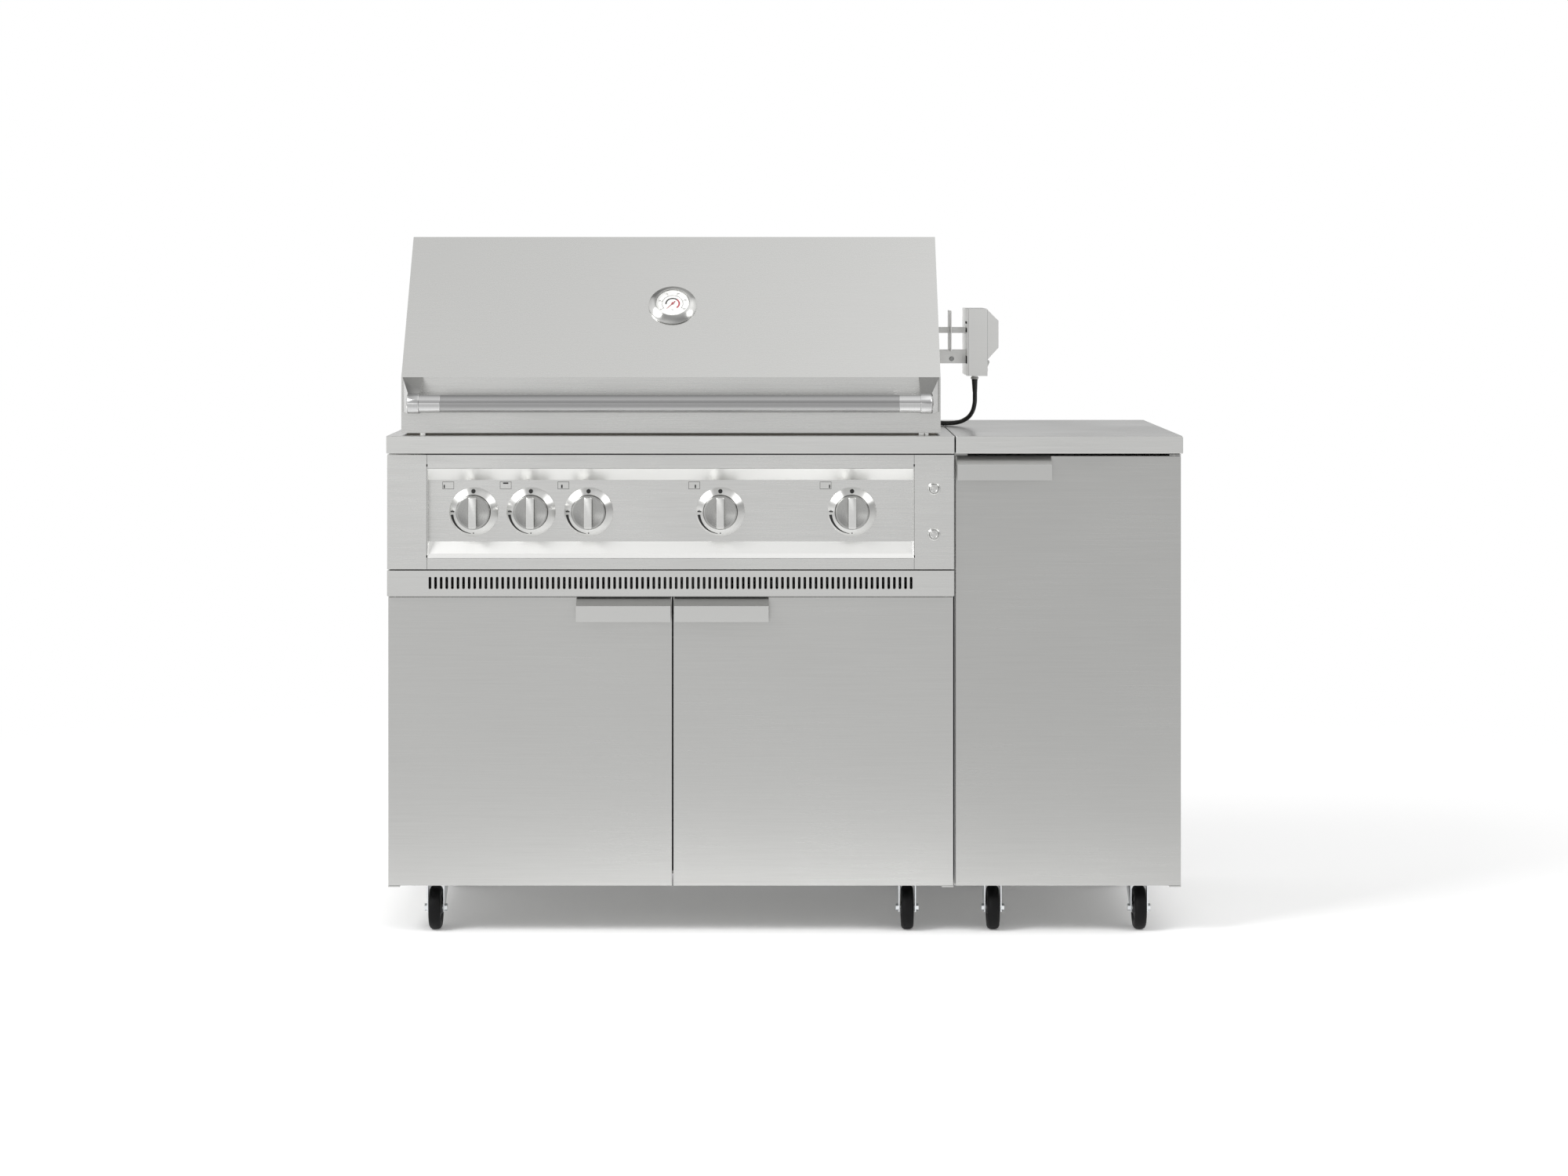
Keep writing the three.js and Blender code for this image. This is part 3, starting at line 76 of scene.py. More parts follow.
def addNode(tree, kind, links=None, **settings):
    node = tree.nodes.new("ShaderNode" + kind)
    for name, value in settings.items():
        setattr(node, name, value)
    for name, value in (links or {}).items():
        if isinstance(value, bpy.types.NodeSocket):
            tree.links.new(value, node.inputs[name])
        else:
            node.inputs[name].default_value = value
    return node


def startMaterial(name, code, rough, metal=0.0, **sockets):
    # a Principled surface with its plain values set on the shader itself
    made = bpy.data.materials.new(name)
    made.use_nodes = True
    tree = made.node_tree
    shader = tree.nodes["Principled BSDF"]
    shader.inputs["Base Color"].default_value = colour(code)
    shader.inputs["Roughness"].default_value = rough
    shader.inputs["Metallic"].default_value = metal
    for socket, value in sockets.items():
        shader.inputs[socket.replace("_", " ")].default_value = value
    return made, tree, shader


def shade(tree, shader, fac, code, darker, lighter, rough, spread):
    # one pattern drives the tone and the roughness
    dark = [c * darker for c in colour(code)[:3]] + [1]
    light = [min(1, c * lighter) for c in colour(code)[:3]] + [1]
    tone = addNode(tree, "Mix", {0: fac, 6: dark, 7: light}, data_type="RGBA")
    tree.links.new(tone.outputs[2], shader.inputs["Base Color"])
    wear = addNode(tree, "MapRange", {0: fac, 3: rough + spread, 4: rough - spread})
    tree.links.new(wear.outputs[0], shader.inputs["Roughness"])


def bumpUp(tree, shader, height, strength, depth):
    bump = addNode(tree, "Bump", {"Height": height, "Strength": strength, "Distance": depth * mm})
    tree.links.new(bump.outputs[0], shader.inputs["Normal"])


def zone(tree, shader, share, code, rough=None):
    # part of the surface in another tone, and roughness if given, over what is there
    sides = [("Base Color", colour(code), "RGBA", (6, 7, 2))]
    if rough:
        sides.append(("Roughness", rough, "FLOAT", (2, 3, 0)))
    for socket, value, kind, (under, over, out) in sides:
        before = shader.inputs[socket].links[0].from_socket
        mixed = addNode(tree, "Mix", {0: share, under: before, over: value}, data_type=kind)
        tree.links.new(mixed.outputs[out], shader.inputs[socket])


def brushedSteel(name, code, rough=0.28, grain=0.35, across=1.6, along=90, cloud=0.03, fold=None, lipHighlight=None,
                 slope=None):
    # stainless sheet, belt-brushed along its length: fine scratches that blur what it mirrors
    made, tree, shader = startMaterial(name, code, rough, 1.0)
    where = addNode(tree, "TexCoord")
    normal = addNode(tree, "SeparateXYZ", {0: where.outputs["Normal"]})
    aside = addNode(tree, "Math", {0: normal.outputs[0]}, operation="ABSOLUTE")
    endOn = addNode(tree, "Math", {0: aside.outputs[0], 1: 0.7}, operation="GREATER_THAN")
    parts = addNode(tree, "SeparateXYZ", {0: where.outputs["Object"]})
    swapped = addNode(tree, "CombineXYZ", {0: parts.outputs[1], 1: parts.outputs[0], 2: parts.outputs[2]})
    line = addNode(tree, "Mix", {0: endOn.outputs[0], 4: where.outputs["Object"], 5: swapped.outputs[0]},
                   data_type="VECTOR")
    scratch = (1 / (along * mm), 1 / (across * mm), 1 / (across * mm))
    fineMap = addNode(tree, "Mapping", {0: line.outputs[1], 3: scratch})
    fine = addNode(tree, "TexNoise", {"Vector": fineMap.outputs[0], "Scale": 1.0, "Detail": 3.0, "Roughness": 0.65})
    broadMap = addNode(tree, "Mapping", {0: line.outputs[1], 3: (5, 240, 240)})  # smears 200 mm long, 4 mm high
    broad = addNode(tree, "TexNoise", {"Vector": broadMap.outputs[0], "Scale": 1.0, "Detail": 4.0, "Roughness": 0.6})
    slow = addNode(tree, "TexNoise", {"Vector": where.outputs["Object"], "Scale": 5.0, "Detail": 1.0})
    streak = addNode(tree, "Mix", {0: 0.4, 2: fine.outputs[0], 3: broad.outputs[0]})
    both = addNode(tree, "Mix", {0: 0.3, 2: streak.outputs[0], 3: slow.outputs[0]})
    shade(tree, shader, both.outputs[0], code, 1 - cloud * 4, 1 + cloud * 4, rough, 0.12)
    bumpUp(tree, shader, fine.outputs[0], grain, 0.02)
    if slope:  # painted highlight: where the sheet slopes into a recess it gets a lighter colour, and a roughness of its own
        steep = addNode(tree, "Math", {0: normal.outputs[2]}, operation="ABSOLUTE")
        slopeHighlight = addNode(tree, "MapRange", {0: steep.outputs[0], 1: 0.3, 2: 0.45})
        zone(tree, shader, slopeHighlight.outputs[0], *slope)
    if lipHighlight:  # painted highlight: the pulls' front lips, which stand proud, get a lighter colour than the door
        proud = addNode(tree, "MapRange", {0: parts.outputs[1], 1: lipHighlight[1] * mm, 2: (lipHighlight[1] - 3) * mm})
        zone(tree, shader, proud.outputs[0], lipHighlight[0])
    if fold:  # painted shade: the upward folds of the pulls get a darker colour for the dark they reflect, and a higher roughness
        up = addNode(tree, "MapRange", {0: normal.outputs[2], 1: 0.7, 2: 0.85})
        out = addNode(tree, "MapRange", {0: normal.outputs[1], 1: -0.2, 2: -0.4})
        foldShade = addNode(tree, "Math", {0: up.outputs[0], 1: out.outputs[0]}, operation="MULTIPLY")
        zone(tree, shader, foldShade.outputs[0], *fold)
    return made


def turnedSteel(name, code, rough=0.22, stretch=0.75, groove=0.5):
    # stainless turned on a lathe: circular grooves that spread light into wedges
    made, tree, shader = startMaterial(name, code, rough, 1.0, Anisotropic=stretch, Anisotropic_Rotation=0.25)
    ring = addNode(tree, "UVMap", uv_map="turned")
    tangent = addNode(tree, "Tangent", direction_type="UV_MAP", uv_map="turned")
    tree.links.new(tangent.outputs[0], shader.inputs["Tangent"])
    stretchMap = addNode(tree, "Mapping", {0: ring.outputs[0], 3: (3, 1 / groove, 1)})
    lines = addNode(tree, "TexNoise", {"Vector": stretchMap.outputs[0], "Scale": 1.0, "Detail": 2.0})
    shade(tree, shader, lines.outputs[0], code, 0.93, 1.06, rough, 0.06)
    bumpUp(tree, shader, lines.outputs[0], 0.12, 0.02)
    return made


def speckled(name, code, rough, metal=0.0, size=0.8, depth=0.05, strength=0.3, tone=0.08, spread=0.06, **sockets):
    # an even, fine-grained surface: moulded, cast, zinc-plated or mill-rolled
    made, tree, shader = startMaterial(name, code, rough, metal, **sockets)
    where = addNode(tree, "TexCoord")
    grit = addNode(tree, "TexNoise", {"Vector": where.outputs["Object"], "Scale": 1 / (size * mm), "Detail": 3.0})
    slow = addNode(tree, "TexNoise", {"Vector": where.outputs["Object"], "Scale": 14.0, "Detail": 2.0})
    both = addNode(tree, "Mix", {0: 0.45, 2: grit.outputs[0], 3: slow.outputs[0]})
    shade(tree, shader, both.outputs[0], code, 1 - tone * 2, 1 + tone * 2, rough, spread)
    bumpUp(tree, shader, grit.outputs[0], strength, depth)
    return made


def knurledSteel(name, code, rough, centre, radius, pitch):
    # stainless tube with a fine diamond knurl rolled into it: scatters light, so it looks matt
    made, tree, shader = startMaterial(name, code, rough, 1.0)
    where = addNode(tree, "TexCoord")
    parts = addNode(tree, "SeparateXYZ", {0: where.outputs["Object"]})
    side = addNode(tree, "Math", {0: parts.outputs[1], 1: centre[0]}, operation="SUBTRACT")
    rise = addNode(tree, "Math", {0: parts.outputs[2], 1: centre[1]}, operation="SUBTRACT")
    angle = addNode(tree, "Math", {0: rise.outputs[0], 1: side.outputs[0]}, operation="ARCTAN2")
    arc = addNode(tree, "Math", {0: angle.outputs[0], 1: radius}, operation="MULTIPLY")
    waves = []
    for way in ("ADD", "SUBTRACT"):
        slant = addNode(tree, "Math", {0: parts.outputs[0], 1: arc.outputs[0]}, operation=way)
        waves.append(addNode(tree, "Math", {0: slant.outputs[0], 1: pitch * mm}, operation="PINGPONG"))
    diamond = addNode(tree, "Math", {0: waves[0].outputs[0], 1: waves[1].outputs[0]}, operation="MINIMUM")
    high = addNode(tree, "MapRange", {0: diamond.outputs[0], 2: pitch * mm})
    shade(tree, shader, high.outputs[0], code, 0.75, 1.1, rough, 0.08)
    bumpUp(tree, shader, high.outputs[0], 0.25, 0.12)
    return made


# Sheet steel, by where it sits; the doors' sheet is a shade darker than the lid's and the counters'
lidSteel = brushedSteel("brushedSteelLid", "d8d8d6", rough=0.27, grain=0.15, cloud=0.02)
counterSteel = brushedSteel("brushedSteelCounter", "e0e0de", rough=0.24, grain=0.12, cloud=0.03)
# the panel's sloping bands carry a painted highlight
panelSteel = brushedSteel("brushedSteelPanel", "e0e0de", rough=0.28, grain=0.2, across=2.4, along=60, cloud=0.04,
                          slope=("eeeeec", 0.36))
bendHighlightSteel = brushedSteel("bendPaintedHighlight", "f6f6f4", rough=0.22, grain=0.1, cloud=0.01)  # painted highlight: a bright strip for the light caught along the bend
# on the doors the pull folds are painted darker as painted shade, and on both materials the pull lips are painted
# lighter as a painted highlight
doorSteel = brushedSteel("brushedSteelDoor", "cfcfcd", rough=0.3, grain=0.2, cloud=0.03, fold=("a0a09e", 0.8),
                         lipHighlight=("dcdcda", -297))
sideDoorSteel = brushedSteel("brushedSteelSideDoor", "c8c8c6", rough=0.3, grain=0.2, cloud=0.03, fold=("c8c8c6", 0.8),
                             lipHighlight=("d4d4d2", -297))
bracketSteel = brushedSteel("brushedSteelBracket", "b6b6b4", rough=0.22, grain=0.15)
motorSteel = brushedSteel("brushedSteelMotor", "e4e4e2", rough=0.34, grain=0.15, cloud=0.01)
plateSteel = speckled("satinSteelPlate", "f0f0ee", 0.42, 1.0, size=0.6, depth=0.01, tone=0.03)  # tumbled: soft grey
millSteel = speckled("millRolledSteel", "b4b4b1", 0.38, 1.0, size=0.6, depth=0.01, tone=0.04)  # as rolled: dull grey
boxSteel = speckled("heatedSteel", "a59f95", 0.42, 1.0, size=3, depth=0.02, tone=0.1)  # straw tint from the fire
burnerSteel = speckled("heatBluedSteel", "8d8a8c", 0.4, 1.0, size=6, depth=0.02, tone=0.16)  # blued by the flame
wireSteel = speckled("drawnSteelRod", "c9c9c7", 0.2, 1.0, size=0.5, depth=0.005, tone=0.03)  # bright drawn rod
zincSteel = speckled("zincPlatedSteel", "e2e5e7", 0.3, 1.0, size=2.2, depth=0.01, tone=0.07)  # cool, faint spangle
boltSteel = speckled("boltSteel", "9fa0a0", 0.32, 1.0, size=0.6, depth=0.01, tone=0.05)
ironEnamel = speckled("enamelledCastIron", "26262a", 0.42, size=1.6, depth=0.12, tone=0.15, Coat_Weight=0.25)
whiteNylon = speckled("whiteNylon", "ececea", 0.45, size=0.5, depth=0.02, tone=0.03)
ceramicTile = speckled("burnerCeramic", "c9b6a0", 0.85, size=1.4, depth=0.3, strength=0.7, tone=0.14)
leadRubber = speckled("leadPvc", "101011", 0.38, size=0.5, depth=0.02, tone=0.2)  # soft PVC: black with a dull gloss
wheelRubber = speckled("wheelRubber", "060607", 0.55, size=0.7, depth=0.03, tone=0.2, Specular_IOR_Level=0.2)
blackPlastic = speckled("blackNylon", "17181a", 0.42, size=0.6, depth=0.02, tone=0.15)
greyPlastic = speckled("greyAbs", "bdbdbb", 0.4, size=0.5, depth=0.02, tone=0.03)
blackInk = speckled("padPrintBlack", "0b0b0b", 0.55, size=0.4, depth=0.01, tone=0.1)
greyInk = speckled("padPrintGrey", "3e3e3c", 0.55, size=0.4, depth=0.01, tone=0.05)
redInk = speckled("padPrintRed", "a3122c", 0.5, size=0.4, depth=0.01, tone=0.06)
dialPaint = speckled("dialPaint", "f1f1ee", 0.35, size=0.6, depth=0.01, tone=0.02)
darkHollow = speckled("shadowedSlot", "080808", 0.9, size=1, depth=0.02, tone=0.2)  # near black: painted shade standing in for the inside of punched slots and notches; also the dark seam lines
knobSteel = turnedSteel("turnedSteelKnob", "bcbcba", rough=0.26, stretch=0.5)
ringSteel = turnedSteel("turnedSteelRing", "dededc", rough=0.3, stretch=0.75)
gaugeSteel = turnedSteel("turnedSteelGauge", "bebebc", rough=0.2, stretch=0.75)
sleeveSteel = turnedSteel("polishedSleeve", "d8d8d8", rough=0.13, stretch=0.4, groove=0.8)
gripSteel = brushedSteel("brushedSteelGrip", "eeeeec", rough=0.2, across=1.0, along=40)
handleSteel = knurledSteel("knurledTube", "bababa", 0.23, (-0.331, 0.981), 0.0159, 1.1)
# Clear glass: only its gloss shows, and wiping leaves it a little hazy in places
gaugeGlass, tree, shader = startMaterial("gaugeGlass", "ffffff", 0.03, Alpha=0.03)
where = addNode(tree, "TexCoord")
wiped = addNode(tree, "TexNoise", {"Vector": where.outputs["Object"], "Scale": 60.0, "Detail": 2.0})
haze = addNode(tree, "MapRange", {0: wiped.outputs[0], 3: 0.02, 4: 0.07})
tree.links.new(haze.outputs[0], shader.inputs["Roughness"])
print("materials:", len(bpy.data.materials))


# Shaping

def newVerts(bm, before):
    return [v for v in bm.verts if v not in before]


def at(x, y, z):
    return Matrix.Translation((x * mm, y * mm, z * mm))


def turned(angle, axis):
    return Matrix.Rotation(math.radians(angle), 4, axis)


def thicken(bm, offset, faces=None):
    # extrudes flat faces and moves the new ones by the offset in mm
    made = bmesh.ops.extrude_face_region(bm, geom=faces or bm.faces[:])["geom"]
    moved = [v for v in made if isinstance(v, bmesh.types.BMVert)]
    bmesh.ops.translate(bm, verts=moved, vec=[c * mm for c in offset])


def lathe(bm, profile, place, steps=48):
    # turns a line of (radius, height) in mm about local Z, with a UV map round and across it
    before = set(bm.verts)
    oldFaces = set(bm.faces)
    line = [bm.verts.new((r * mm, 0, h * mm)) for r, h in profile]
    edges = [bm.edges.new(pair) for pair in zip(line, line[1:])]
    bmesh.ops.spin(bm, geom=line + edges, axis=(0, 0, 1), cent=(0, 0, 0), angle=math.tau, steps=steps, use_merge=True)
    bmesh.ops.remove_doubles(bm, verts=newVerts(bm, before), dist=0.002 * mm)
    layer = bm.loops.layers.uv.get("turned") or bm.loops.layers.uv.new("turned")
    for face in bm.faces:
        if face in oldFaces:
            continue
        middle = face.calc_center_median()
        home = math.atan2(middle.y, middle.x)
        for loop in face.loops:
            x, y, z = loop.vert.co
            radius = math.hypot(x, y)
            turn = home if radius < 1e-6 else math.atan2(y, x)
            turn += math.tau * round((home - turn) / math.tau)
            loop[layer].uv = (turn / math.tau, (radius - 0.8 * z) / mm)
    bmesh.ops.transform(bm, matrix=place, verts=newVerts(bm, before))


def slab(bm, low, high, place=Matrix()):
    # a block between two corners in mm
    size = [b - a for a, b in zip(low, high)]
    middle = [(a + b) / 2 for a, b in zip(low, high)]
    where = place @ at(*middle) @ Matrix.Diagonal([s * mm for s in size] + [1])
    return bmesh.ops.create_cube(bm, size=1, matrix=where)["verts"]


def softenEdges(bm, width, angle=30, segments=2, verts=None):
    chosen = [e for e in bm.edges if len(e.link_faces) == 2 and e.calc_face_angle(0) > math.radians(angle)
              and (verts is None or (e.verts[0] in verts and e.verts[1] in verts))]
    bmesh.ops.bevel(bm, geom=chosen, offset=width * mm, offset_type="OFFSET", affect="EDGES", segments=segments,
                    profile=0.5, material=-1, clamp_overlap=True)


def finishPiece(bm, name, material, body, stands=(), sharp=38):
    bmesh.ops.remove_doubles(bm, verts=bm.verts, dist=0.002 * mm)
    bmesh.ops.recalc_face_normals(bm, faces=bm.faces)
    for face in bm.faces:
        face.smooth = True
    for edge in bm.edges:
        edge.smooth = len(edge.link_faces) == 2 and edge.calc_face_angle(0) < math.radians(sharp)
    mesh = bpy.data.meshes.new(name)
    bm.to_mesh(mesh)
    bm.free()
    mesh.materials.append(material)
    piece = bpy.data.objects.new(name, mesh)
    scene.collection.objects.link(piece)
    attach(piece, body)
    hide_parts(*stands)
    return piece


def dressNode(name, material, edge=0.6, angle=30):
    # a CAD solid whose shape is right: its own material, and edges that catch the light
    node = nodes[name]
    for holder in node.material_slots:
        holder.material = material
    weld = node.modifiers.new("weld", "WELD")
    weld.merge_threshold = 0.01 * mm
    if edge:
        planes = node.modifiers.new("planes", "DECIMATE")
        planes.decimate_type = "DISSOLVE"
        planes.angle_limit = math.radians(0.6)
        bevel = node.modifiers.new("edges", "BEVEL")
        bevel.width = edge * mm
        bevel.segments = 2
        bevel.limit_method = "ANGLE"
        bevel.angle_limit = math.radians(angle)


def facing(x, y, z, tilt=0):
    # local X right, Y up and Z towards the front, leaning back by the tilt
    return at(x, y, z) @ turned(90 - tilt, "X")


# Cord, strain reliefs and plug

cordSizes = {
    "diameter": 8.5,
    "exit": (370.25, 49, 1017.1),
    "route": [(370.25, 49, 1017.1), (370.25, 49, 1008), (370.8, 51, 985), (370, 57, 962), (364, 69, 944),
              (352, 85, 932), (337, 99, 926.2), (322, 107.5, 924.55), (307, 117, 924.55), (298, 133, 924.55),
              (296, 158, 924.55), (296, 200, 924.55), (296, 240, 924.55), (296, 267.2, 924.55)],
    "lies": 924.55,  # height of the cord's middle on the counter
    "coil": (240.3625, 276),
    "turns": 3.25,
    "radius": 48,
    "pitch": 9.4,
    "layer": 9.2,
    "tail": 46,
    "length": 1.351,  # metres, free stretch and coil
}


def cordLine():
    c = cordSizes
    points = [Vector(p) for p in c["route"]]
    half = c["turns"] / 2
    for i in range(int(c["turns"] * 24) + 1):
        turn = i / 24
        radius = c["radius"] + c["pitch"] * (abs(turn - half) - half / 2)
        share = min(1, max(0, (turn - half + 0.25) / 0.5))
        angle = math.tau * turn
        points.append(Vector((c["coil"][0] + math.cos(angle) * radius, c["coil"][1] + math.sin(angle) * radius,
                              c["lies"] + c["layer"] * share * share * (3 - 2 * share))))
    edge = c["coil"][1] + c["radius"] + c["pitch"] * half / 2
    for step in (0.33, 0.67, 1):
        points.append(Vector((c["coil"][0] - c["tail"] * step, edge, c["lies"] + c["layer"])))
    return points


def leadCurve(name, points, material, radii=None):
    made = bpy.data.curves.new(name, "CURVE")
    made.dimensions = "3D"
    made.bevel_depth = cordSizes["diameter"] / 2 * mm
    made.bevel_resolution = 4
    made.use_fill_caps = True
    made.resolution_u = 5
    spline = made.splines.new("BEZIER")
    spline.bezier_points.add(len(points) - 1)
    for i, (knot, point) in enumerate(zip(spline.bezier_points, points)):
        knot.co = point * mm
        knot.handle_left_type = knot.handle_right_type = "AUTO"
        knot.radius = radii[i] if radii else 1
    made.materials.append(material)
    piece = bpy.data.objects.new(name, made)
    scene.collection.objects.link(piece)
    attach(piece, "island")
    return piece


line = cordLine()
lead = leadCurve("rotisserieLead", line, leadRubber)
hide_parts("rotisserie_cord", "cord_coil")

reliefLine = [line[0].lerp(line[1], t) for t in (0, 0.5)] + [line[1]]
reliefLine += [line[1].lerp(line[2], t) for t in (0.45, 0.85)]
topRelief = leadCurve("motorStrainRelief", reliefLine, leadRubber, [1.42, 1.4, 1.3, 1.18, 1.06])
end = line[-1]
plugRelief = leadCurve("plugStrainRelief", [end + Vector((x, 0, 0)) for x in (-3, 5, 13, 21, 28)], leadRubber,
                       [1.75, 1.6, 1.4, 1.2, 1.07])

plugSizes = {"radius": 13.1, "length": 34, "ribs": 5, "pitch": 3.2, "blade": 17, "spread": 6.4, "half": 3.2,
             "sheet": 1.6}
p = plugSizes
outline = [(0, 0), (7, 0), (9.5, 2), (p["radius"] - 1.5, 8)]
for rib in [i * p["pitch"] for i in range(p["ribs"])]:
    outline += [(p["radius"] - 1.6, 9 + rib), (p["radius"], 9.6 + rib), (p["radius"], 11 + rib),
                (p["radius"] - 1.6, 11.6 + rib)]
outline += [(p["radius"], 26), (p["radius"], 32.5), (p["radius"] - 1.5, p["length"]), (0, p["length"])]
plugPlace = Matrix.Translation(end * mm) @ turned(-90, "Y")
body = bmesh.new()
lathe(body, outline, plugPlace, 36)
plug = finishPiece(body, "leadPlug", leadRubber, "island", ["cord_plug"])
pins = bmesh.new()
for side in (-1, 1):
    slab(pins, (-p["half"], side * p["spread"] - p["sheet"] / 2, p["length"] - 4),
         (p["half"], side * p["spread"] + p["sheet"] / 2, p["length"] + p["blade"]), plugPlace)
softenEdges(pins, 0.4)
blades = finishPiece(pins, "plugBlades", wireSteel, "island")

print("cord: route and coil of", len(line), "points")


# Sheet metal, carried over from CAD

for name in ("grill_counter", "side_counter"):
    dressNode(name, counterSteel, 1.2)
for name, material in (("door_left", doorSteel), ("door_right", doorSteel), ("side_door", sideDoorSteel)):
    dressNode(name, material, 0.5)
for name in ("grill_cabinet", "side_cabinet"):
    dressNode(name, doorSteel, 0.4)
for name in ("front_frame", "control_panel"):
    dressNode(name, panelSteel, 0.5, 50)
dressNode("vent_strip", counterSteel, 0.3, 60)
dressNode("lid_shell", lidSteel, 1.0)
for side in ("left", "right"):
    dressNode("handle_bracket_" + side, bracketSteel, 0.8)
for name in ("grill_base", "side_base", "side_shelf", "drip_tray"):
    dressNode(name, millSteel, 0.4)
dressNode("firebox", boxSteel, 0.3)
dressNode("burner_set", burnerSteel, 0.2, 60)
dressNode("rear_burner", boxSteel, 0.4)
dressNode("cooking_grate", ironEnamel, 0.8)
dressNode("warming_rack", wireSteel, 0)
dressNode("motor_bracket", plateSteel, 0.3)
dressNode("rotisserie_motor", motorSteel, 0.8)
dressNode("spit_rod", plateSteel, 0.6)
for i in range(1, 9):
    dressNode(f"caster_fork_{i}", zincSteel, 0.3)
print("carried-over solids dressed")


# Knobs, their rings and the printed marks

knobSizes = {
    "centres": (-574, -468, -361.6, -118.5, 124.4),
    "height": 778.6,
    "panel": -268,  # front of the panel, in Y
    "disc": 31,
    "face": 20.3,
    "reach": 35,
    "grip": (14.2, 57),
    "ring": 45,
    "throat": 31.7,
    "hole": 11.7,
    "rise": 9,
    "edge": 2,
    "print": 38.4,  # radius of the marks
}


def onCone(co):
    # keeps a printed mark on the ring's slope
    k = knobSizes
    inner, outer, low = k["throat"] + 0.7, k["ring"] - 0.5, k["edge"] + 0.2
    share = (math.hypot(co.x, co.y) / mm - inner) / (outer - inner)
    return (k["rise"] - min(1, max(0, share)) * (k["rise"] - low)) * mm


def printedDot(bm, radius, angle, size):
    before = set(bm.verts)
    middle = at(radius * math.cos(angle), radius * math.sin(angle), 0)
    bmesh.ops.create_circle(bm, cap_ends=True, cap_tris=True, segments=20, radius=size / 2 * mm, matrix=middle)
    return newVerts(bm, before)


def printedArc(bm, radius, start, stop, widths):
    before = set(bm.verts)
    ends = [bm.verts.new(((radius + s * widths[0] / 2) * mm, 0, 0)) for s in (-1, 1)]
    edge = bm.edges.new(ends)
    bmesh.ops.spin(bm, geom=ends + [edge], axis=(0, 0, 1), cent=(0, 0, 0), angle=stop - start, steps=28)
    made = newVerts(bm, before)
    for v in made:
        share = (math.atan2(v.co.y, v.co.x) % math.tau) / (stop - start)
        width = widths[0] + (widths[1] - widths[0]) * min(1, share)
        flat = Vector((v.co.x, v.co.y))
        offset = flat.length - radius * mm
        v.co.xy = flat.normalized() * (radius * mm + offset * width / widths[0])
    bmesh.ops.rotate(bm, verts=made, cent=(0, 0, 0), matrix=Matrix.Rotation(start, 3, "Z"))
    return made


def roundedBar(bm, half, length, corner, low, high):
    # an upright bar with rounded corners, along Y
    cap = bmesh.ops.create_circle(bm, cap_ends=True, segments=32, radius=corner * mm, matrix=at(0, 0, low))["verts"]
    for v in cap:
        v.co.x += math.copysign((half - corner) * mm, v.co.x if abs(v.co.x) > 1e-7 else 1)
        v.co.y += math.copysign((length - corner) * mm, v.co.y if abs(v.co.y) > 1e-7 else 1)
    thicken(bm, (0, 0, high - low))
    bmesh.ops.recalc_face_normals(bm, faces=bm.faces)


def knobSet(index, x):
    k = knobSizes
    front = facing(x, k["panel"], k["height"])
    ring = bmesh.new()
    lathe(ring, [(k["hole"], 3), (k["throat"], 3), (k["throat"], k["rise"] - 0.6), (k["throat"] + 0.7, k["rise"]),
                 (k["ring"] - 0.5, k["edge"] + 0.2), (k["ring"], k["edge"] - 0.3), (k["ring"], 0.4), (k["hole"], 0.4),
                 (k["hole"], 3)], front, 72)
    finishPiece(ring, f"knobRing{index}", ringSteel, "island", [f"knob_bezel_{index}"])

    marks = bmesh.new()
    printedDot(marks, k["print"], math.radians(90), 8)
    printedDot(marks, k["print"], math.radians(135), 2.2)
    printedDot(marks, k["print"] + 0.6, math.radians(270), 2.4)
    printedArc(marks, k["print"] + 1.6, math.radians(187), math.radians(263), (5.2, 0.7))
    for i, tall in enumerate((3.0, 4.6, 3.0)):  # a small flame of three tongues at high
        tongue = printedDot(marks, k["print"] + 0.4 + (i - 1) * 2.5, math.radians(179), 2.3)
        bmesh.ops.scale(marks, verts=tongue, vec=(1, tall / 2.3, 1))
    for v in marks.verts:
        v.co.z = onCone(v.co) + 0.15 * mm
    thicken(marks, (0, 0, -0.2))
    bmesh.ops.transform(marks, matrix=front, verts=marks.verts)
    finishPiece(marks, f"knobMarks{index}", blackInk, "island")

    gapShade = bmesh.new()  # black ring at the foot of the gap round the knob: painted shade that darkens the gap
    lathe(gapShade, [(20, 3.05), (k["throat"] - 0.1, 3.05), (k["throat"] - 0.1, 3.25), (20, 3.25), (20, 3.05)], front, 48)
    finishPiece(gapShade, f"knobGapShade{index}", blackPlastic, "island")

    groove = bmesh.new()  # dark line round the foot of the grip
    roundedBar(groove, k["grip"][0] / 2 + 0.55, k["grip"][1] / 2 - 2.6, 3, k["face"] - 1.2, k["face"] - 0.42)
    bmesh.ops.transform(groove, matrix=front, verts=groove.verts)
    finishPiece(groove, f"knobGroove{index}", blackPlastic, f"knob_{index}")

    disc = bmesh.new()
    lathe(disc, [(4.3, 3.4), (k["disc"] - 1, 3.4), (k["disc"], 4.4), (k["disc"], k["face"] - 1.6),
                 (k["disc"] - 0.5, k["face"] - 0.5), (k["disc"] - 1.6, k["face"]), (k["disc"] - 3, k["face"]),
                 (k["disc"] - 4, k["face"] - 0.5), (0, k["face"] - 0.7)], front, 64)
    lathe(disc, [(4.3, 3.4), (4.3, 15), (0, 15)], front, 24)
    finishPiece(disc, f"knobDisc{index}", knobSteel, f"knob_{index}", [f"knob_{index}"])

    grip = bmesh.new()
    roundedBar(grip, k["grip"][0] / 2, k["grip"][1] / 2, 2.6, k["face"] - 6, k["reach"])
    softenEdges(grip, 1.3, 50, 3)
    bmesh.ops.transform(grip, matrix=front, verts=grip.verts)
    finishPiece(grip, f"knobGrip{index}", gripSteel, f"knob_{index}", sharp=30)


for i, x in enumerate(knobSizes["centres"], 1):
    knobSet(i, x)
print("knobs and rings")

